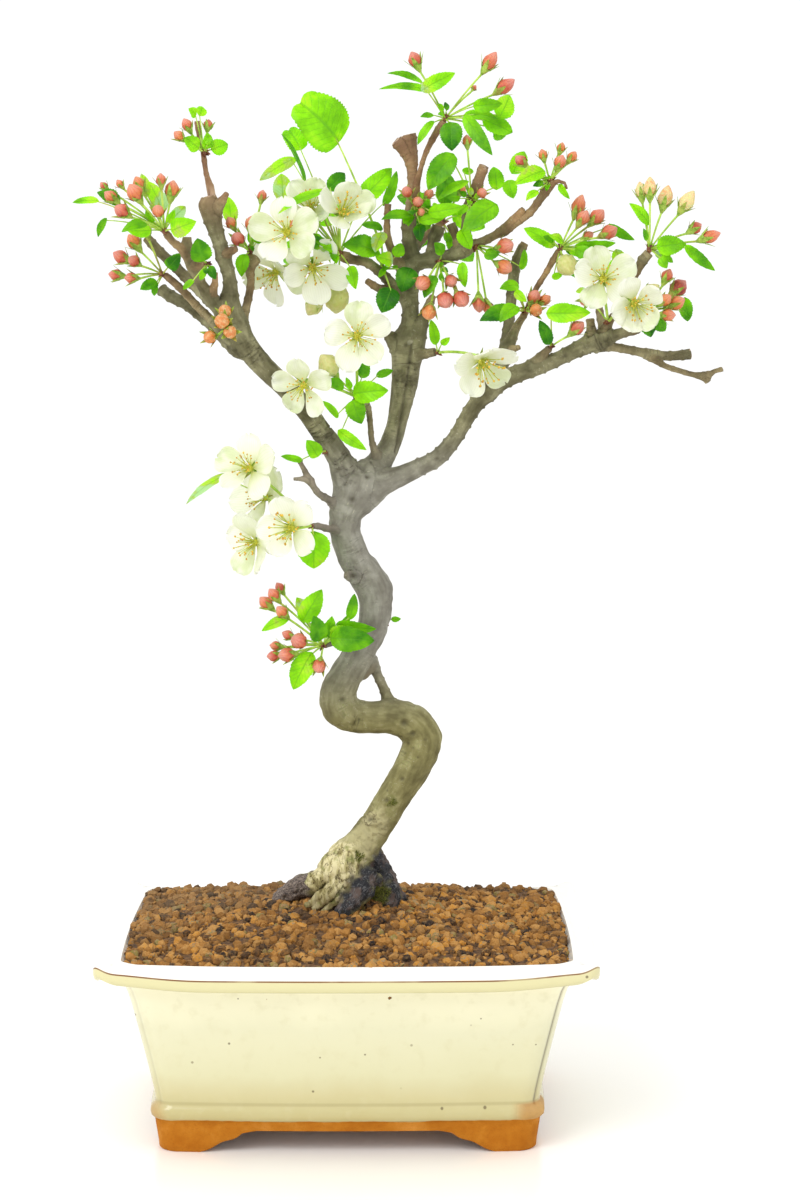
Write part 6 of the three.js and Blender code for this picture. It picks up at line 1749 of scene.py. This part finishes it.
def tuftTree():
    # short blades on the faces where the moss value is high
    tree = NodeTree("mossTufts")
    thick, seed = tree.input("perSquareMetre"), tree.input("seed", "Int")
    length, finish = tree.input("length"), tree.input("finish", "Material")
    moss = tree.add("GeometryNodeInputNamedAttribute", {"Name": "moss"}, data_type="FLOAT")
    isMossy = tree.add("FunctionNodeCompare", {0: moss, 1: 0.45}, operation="GREATER_THAN")
    spots, upright = tree.strew(isMossy, thick, seed)
    blade = tree.add("GeometryNodeMeshCone", {
        "Vertices": 4, "Side Segments": 2, "Radius Top": 0.02, "Radius Bottom": 0.16, "Depth": 1.0})
    lean = tree.chance((-0.7, -0.7, 0), (0.7, 0.7, 6.28), seed, 2)
    lean = tree.add("FunctionNodeEulerToRotation", {0: lean})
    way = tree.turned(upright, lean)
    size = tree.times(tree.chance(0.5, 1.2, seed, 1), length)
    laid = tree.add("GeometryNodeInstanceOnPoints", {
        "Points": spots, "Instance": blade, "Rotation": way, "Scale": size})
    tree.finish(tree.tinted(laid, seed), finish)
    return tree


soilBed = makeBed()
granules = addPiece("soilGranules", soilBed.data.copy())
scatterTree().grow(granules, perSquareMetre=soilSize["perSquareMetre"], seed=soilSize["seed"],
                   smallest=soilSize["smallest"] * millimetre, largest=soilSize["largest"] * millimetre,
                   finish=granuleFinish)
settle(granules, "soil_grains", "soil")
mossSize = {"perSquareMetre": 2600000.0, "seed": 9, "length": 1.3}
moss = addPiece("mossTufts", treeWood.data.copy())
tuftTree().grow(moss, perSquareMetre=mossSize["perSquareMetre"], seed=mossSize["seed"],
                length=mossSize["length"] * millimetre, finish=mossFinish)
settle(moss, "leaf_green")
print("soil made", len(granules.data.polygons), len(moss.data.polygons))


# The plastic screens over the drain holes keep their shape from the frame
def finishScreens():
    material = makePlainFinish("screenPlastic", (300, 3), [(0.4, 34, 34, 36), (0.6, 52, 52, 54)],
                               (900, 2, 0.1, 0.5), 0.5)
    for screen in ("drain_screen_1", "drain_screen_2"):
        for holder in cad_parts[screen].material_slots:
            holder.material = material


finishScreens()


# The plain floor, the soft light and the camera; each lamp has its place, power and size
stageSize = {"floor": 6, "room": 1.06, "keyLight": ((-1.1, -1.5, 1.7), 24, 1.2),
             "fillLight": ((1.6, -1.0, 0.9), 4, 1.6), "sensor": 36, "clip": 30}


def makeStage():
    floorMesh = bpy.data.meshes.new("paleFloor")
    half = stageSize["floor"]
    corners = [(-half, -half, 0), (half, -half, 0), (half, half, 0), (-half, half, 0)]
    floorMesh.from_pydata(corners, [], [(0, 1, 2, 3)])
    floor = addPiece("paleFloor", floorMesh)
    finish = Finish("floorPaint")
    finish.shade = finish.mix(finish.noise(3, 2), (252, 251, 247), (254, 253, 250))
    floorMesh.materials.append(finish.done(0.18, 0.4))
    world = bpy.context.scene.world or bpy.data.worlds.new("softRoom")
    bpy.context.scene.world = world
    world.use_nodes = True
    sky = world.node_tree.nodes["Background"]
    sky.inputs["Color"].default_value = (1, 1, 1, 1)
    sky.inputs["Strength"].default_value = stageSize["room"]
    for name in ("keyLight", "fillLight"):
        spot, power, size = stageSize[name]
        lamp = bpy.data.lights.new(name, "AREA")
        lamp.energy, lamp.size = power, size
        holder = addPiece(name, lamp)
        holder.location = spot
        aim = Vector((0, 0, 0.25)) - Vector(spot)
        holder.rotation_euler = aim.to_track_quat("-Z", "Y").to_euler()


makeStage()
cameraData = bpy.data.cameras.new("frontCamera")
cameraData.sensor_width = stageSize["sensor"]
# the sensor's width stands for the height of the front view
cameraData.lens = stageSize["sensor"] * frontView["focal"] / (2 * frontView["down"])
cameraData.clip_end = stageSize["clip"]
camera = addPiece("frontCamera", cameraData)
turn = Matrix((rightward, upward.normalized(), -ahead)).transposed()
camera.matrix_world = Matrix.Translation(toMetres(eye)) @ turn.to_4x4()
bpy.context.scene.camera = camera
bpy.context.scene.view_settings.view_transform = "Standard"

print("scene made")
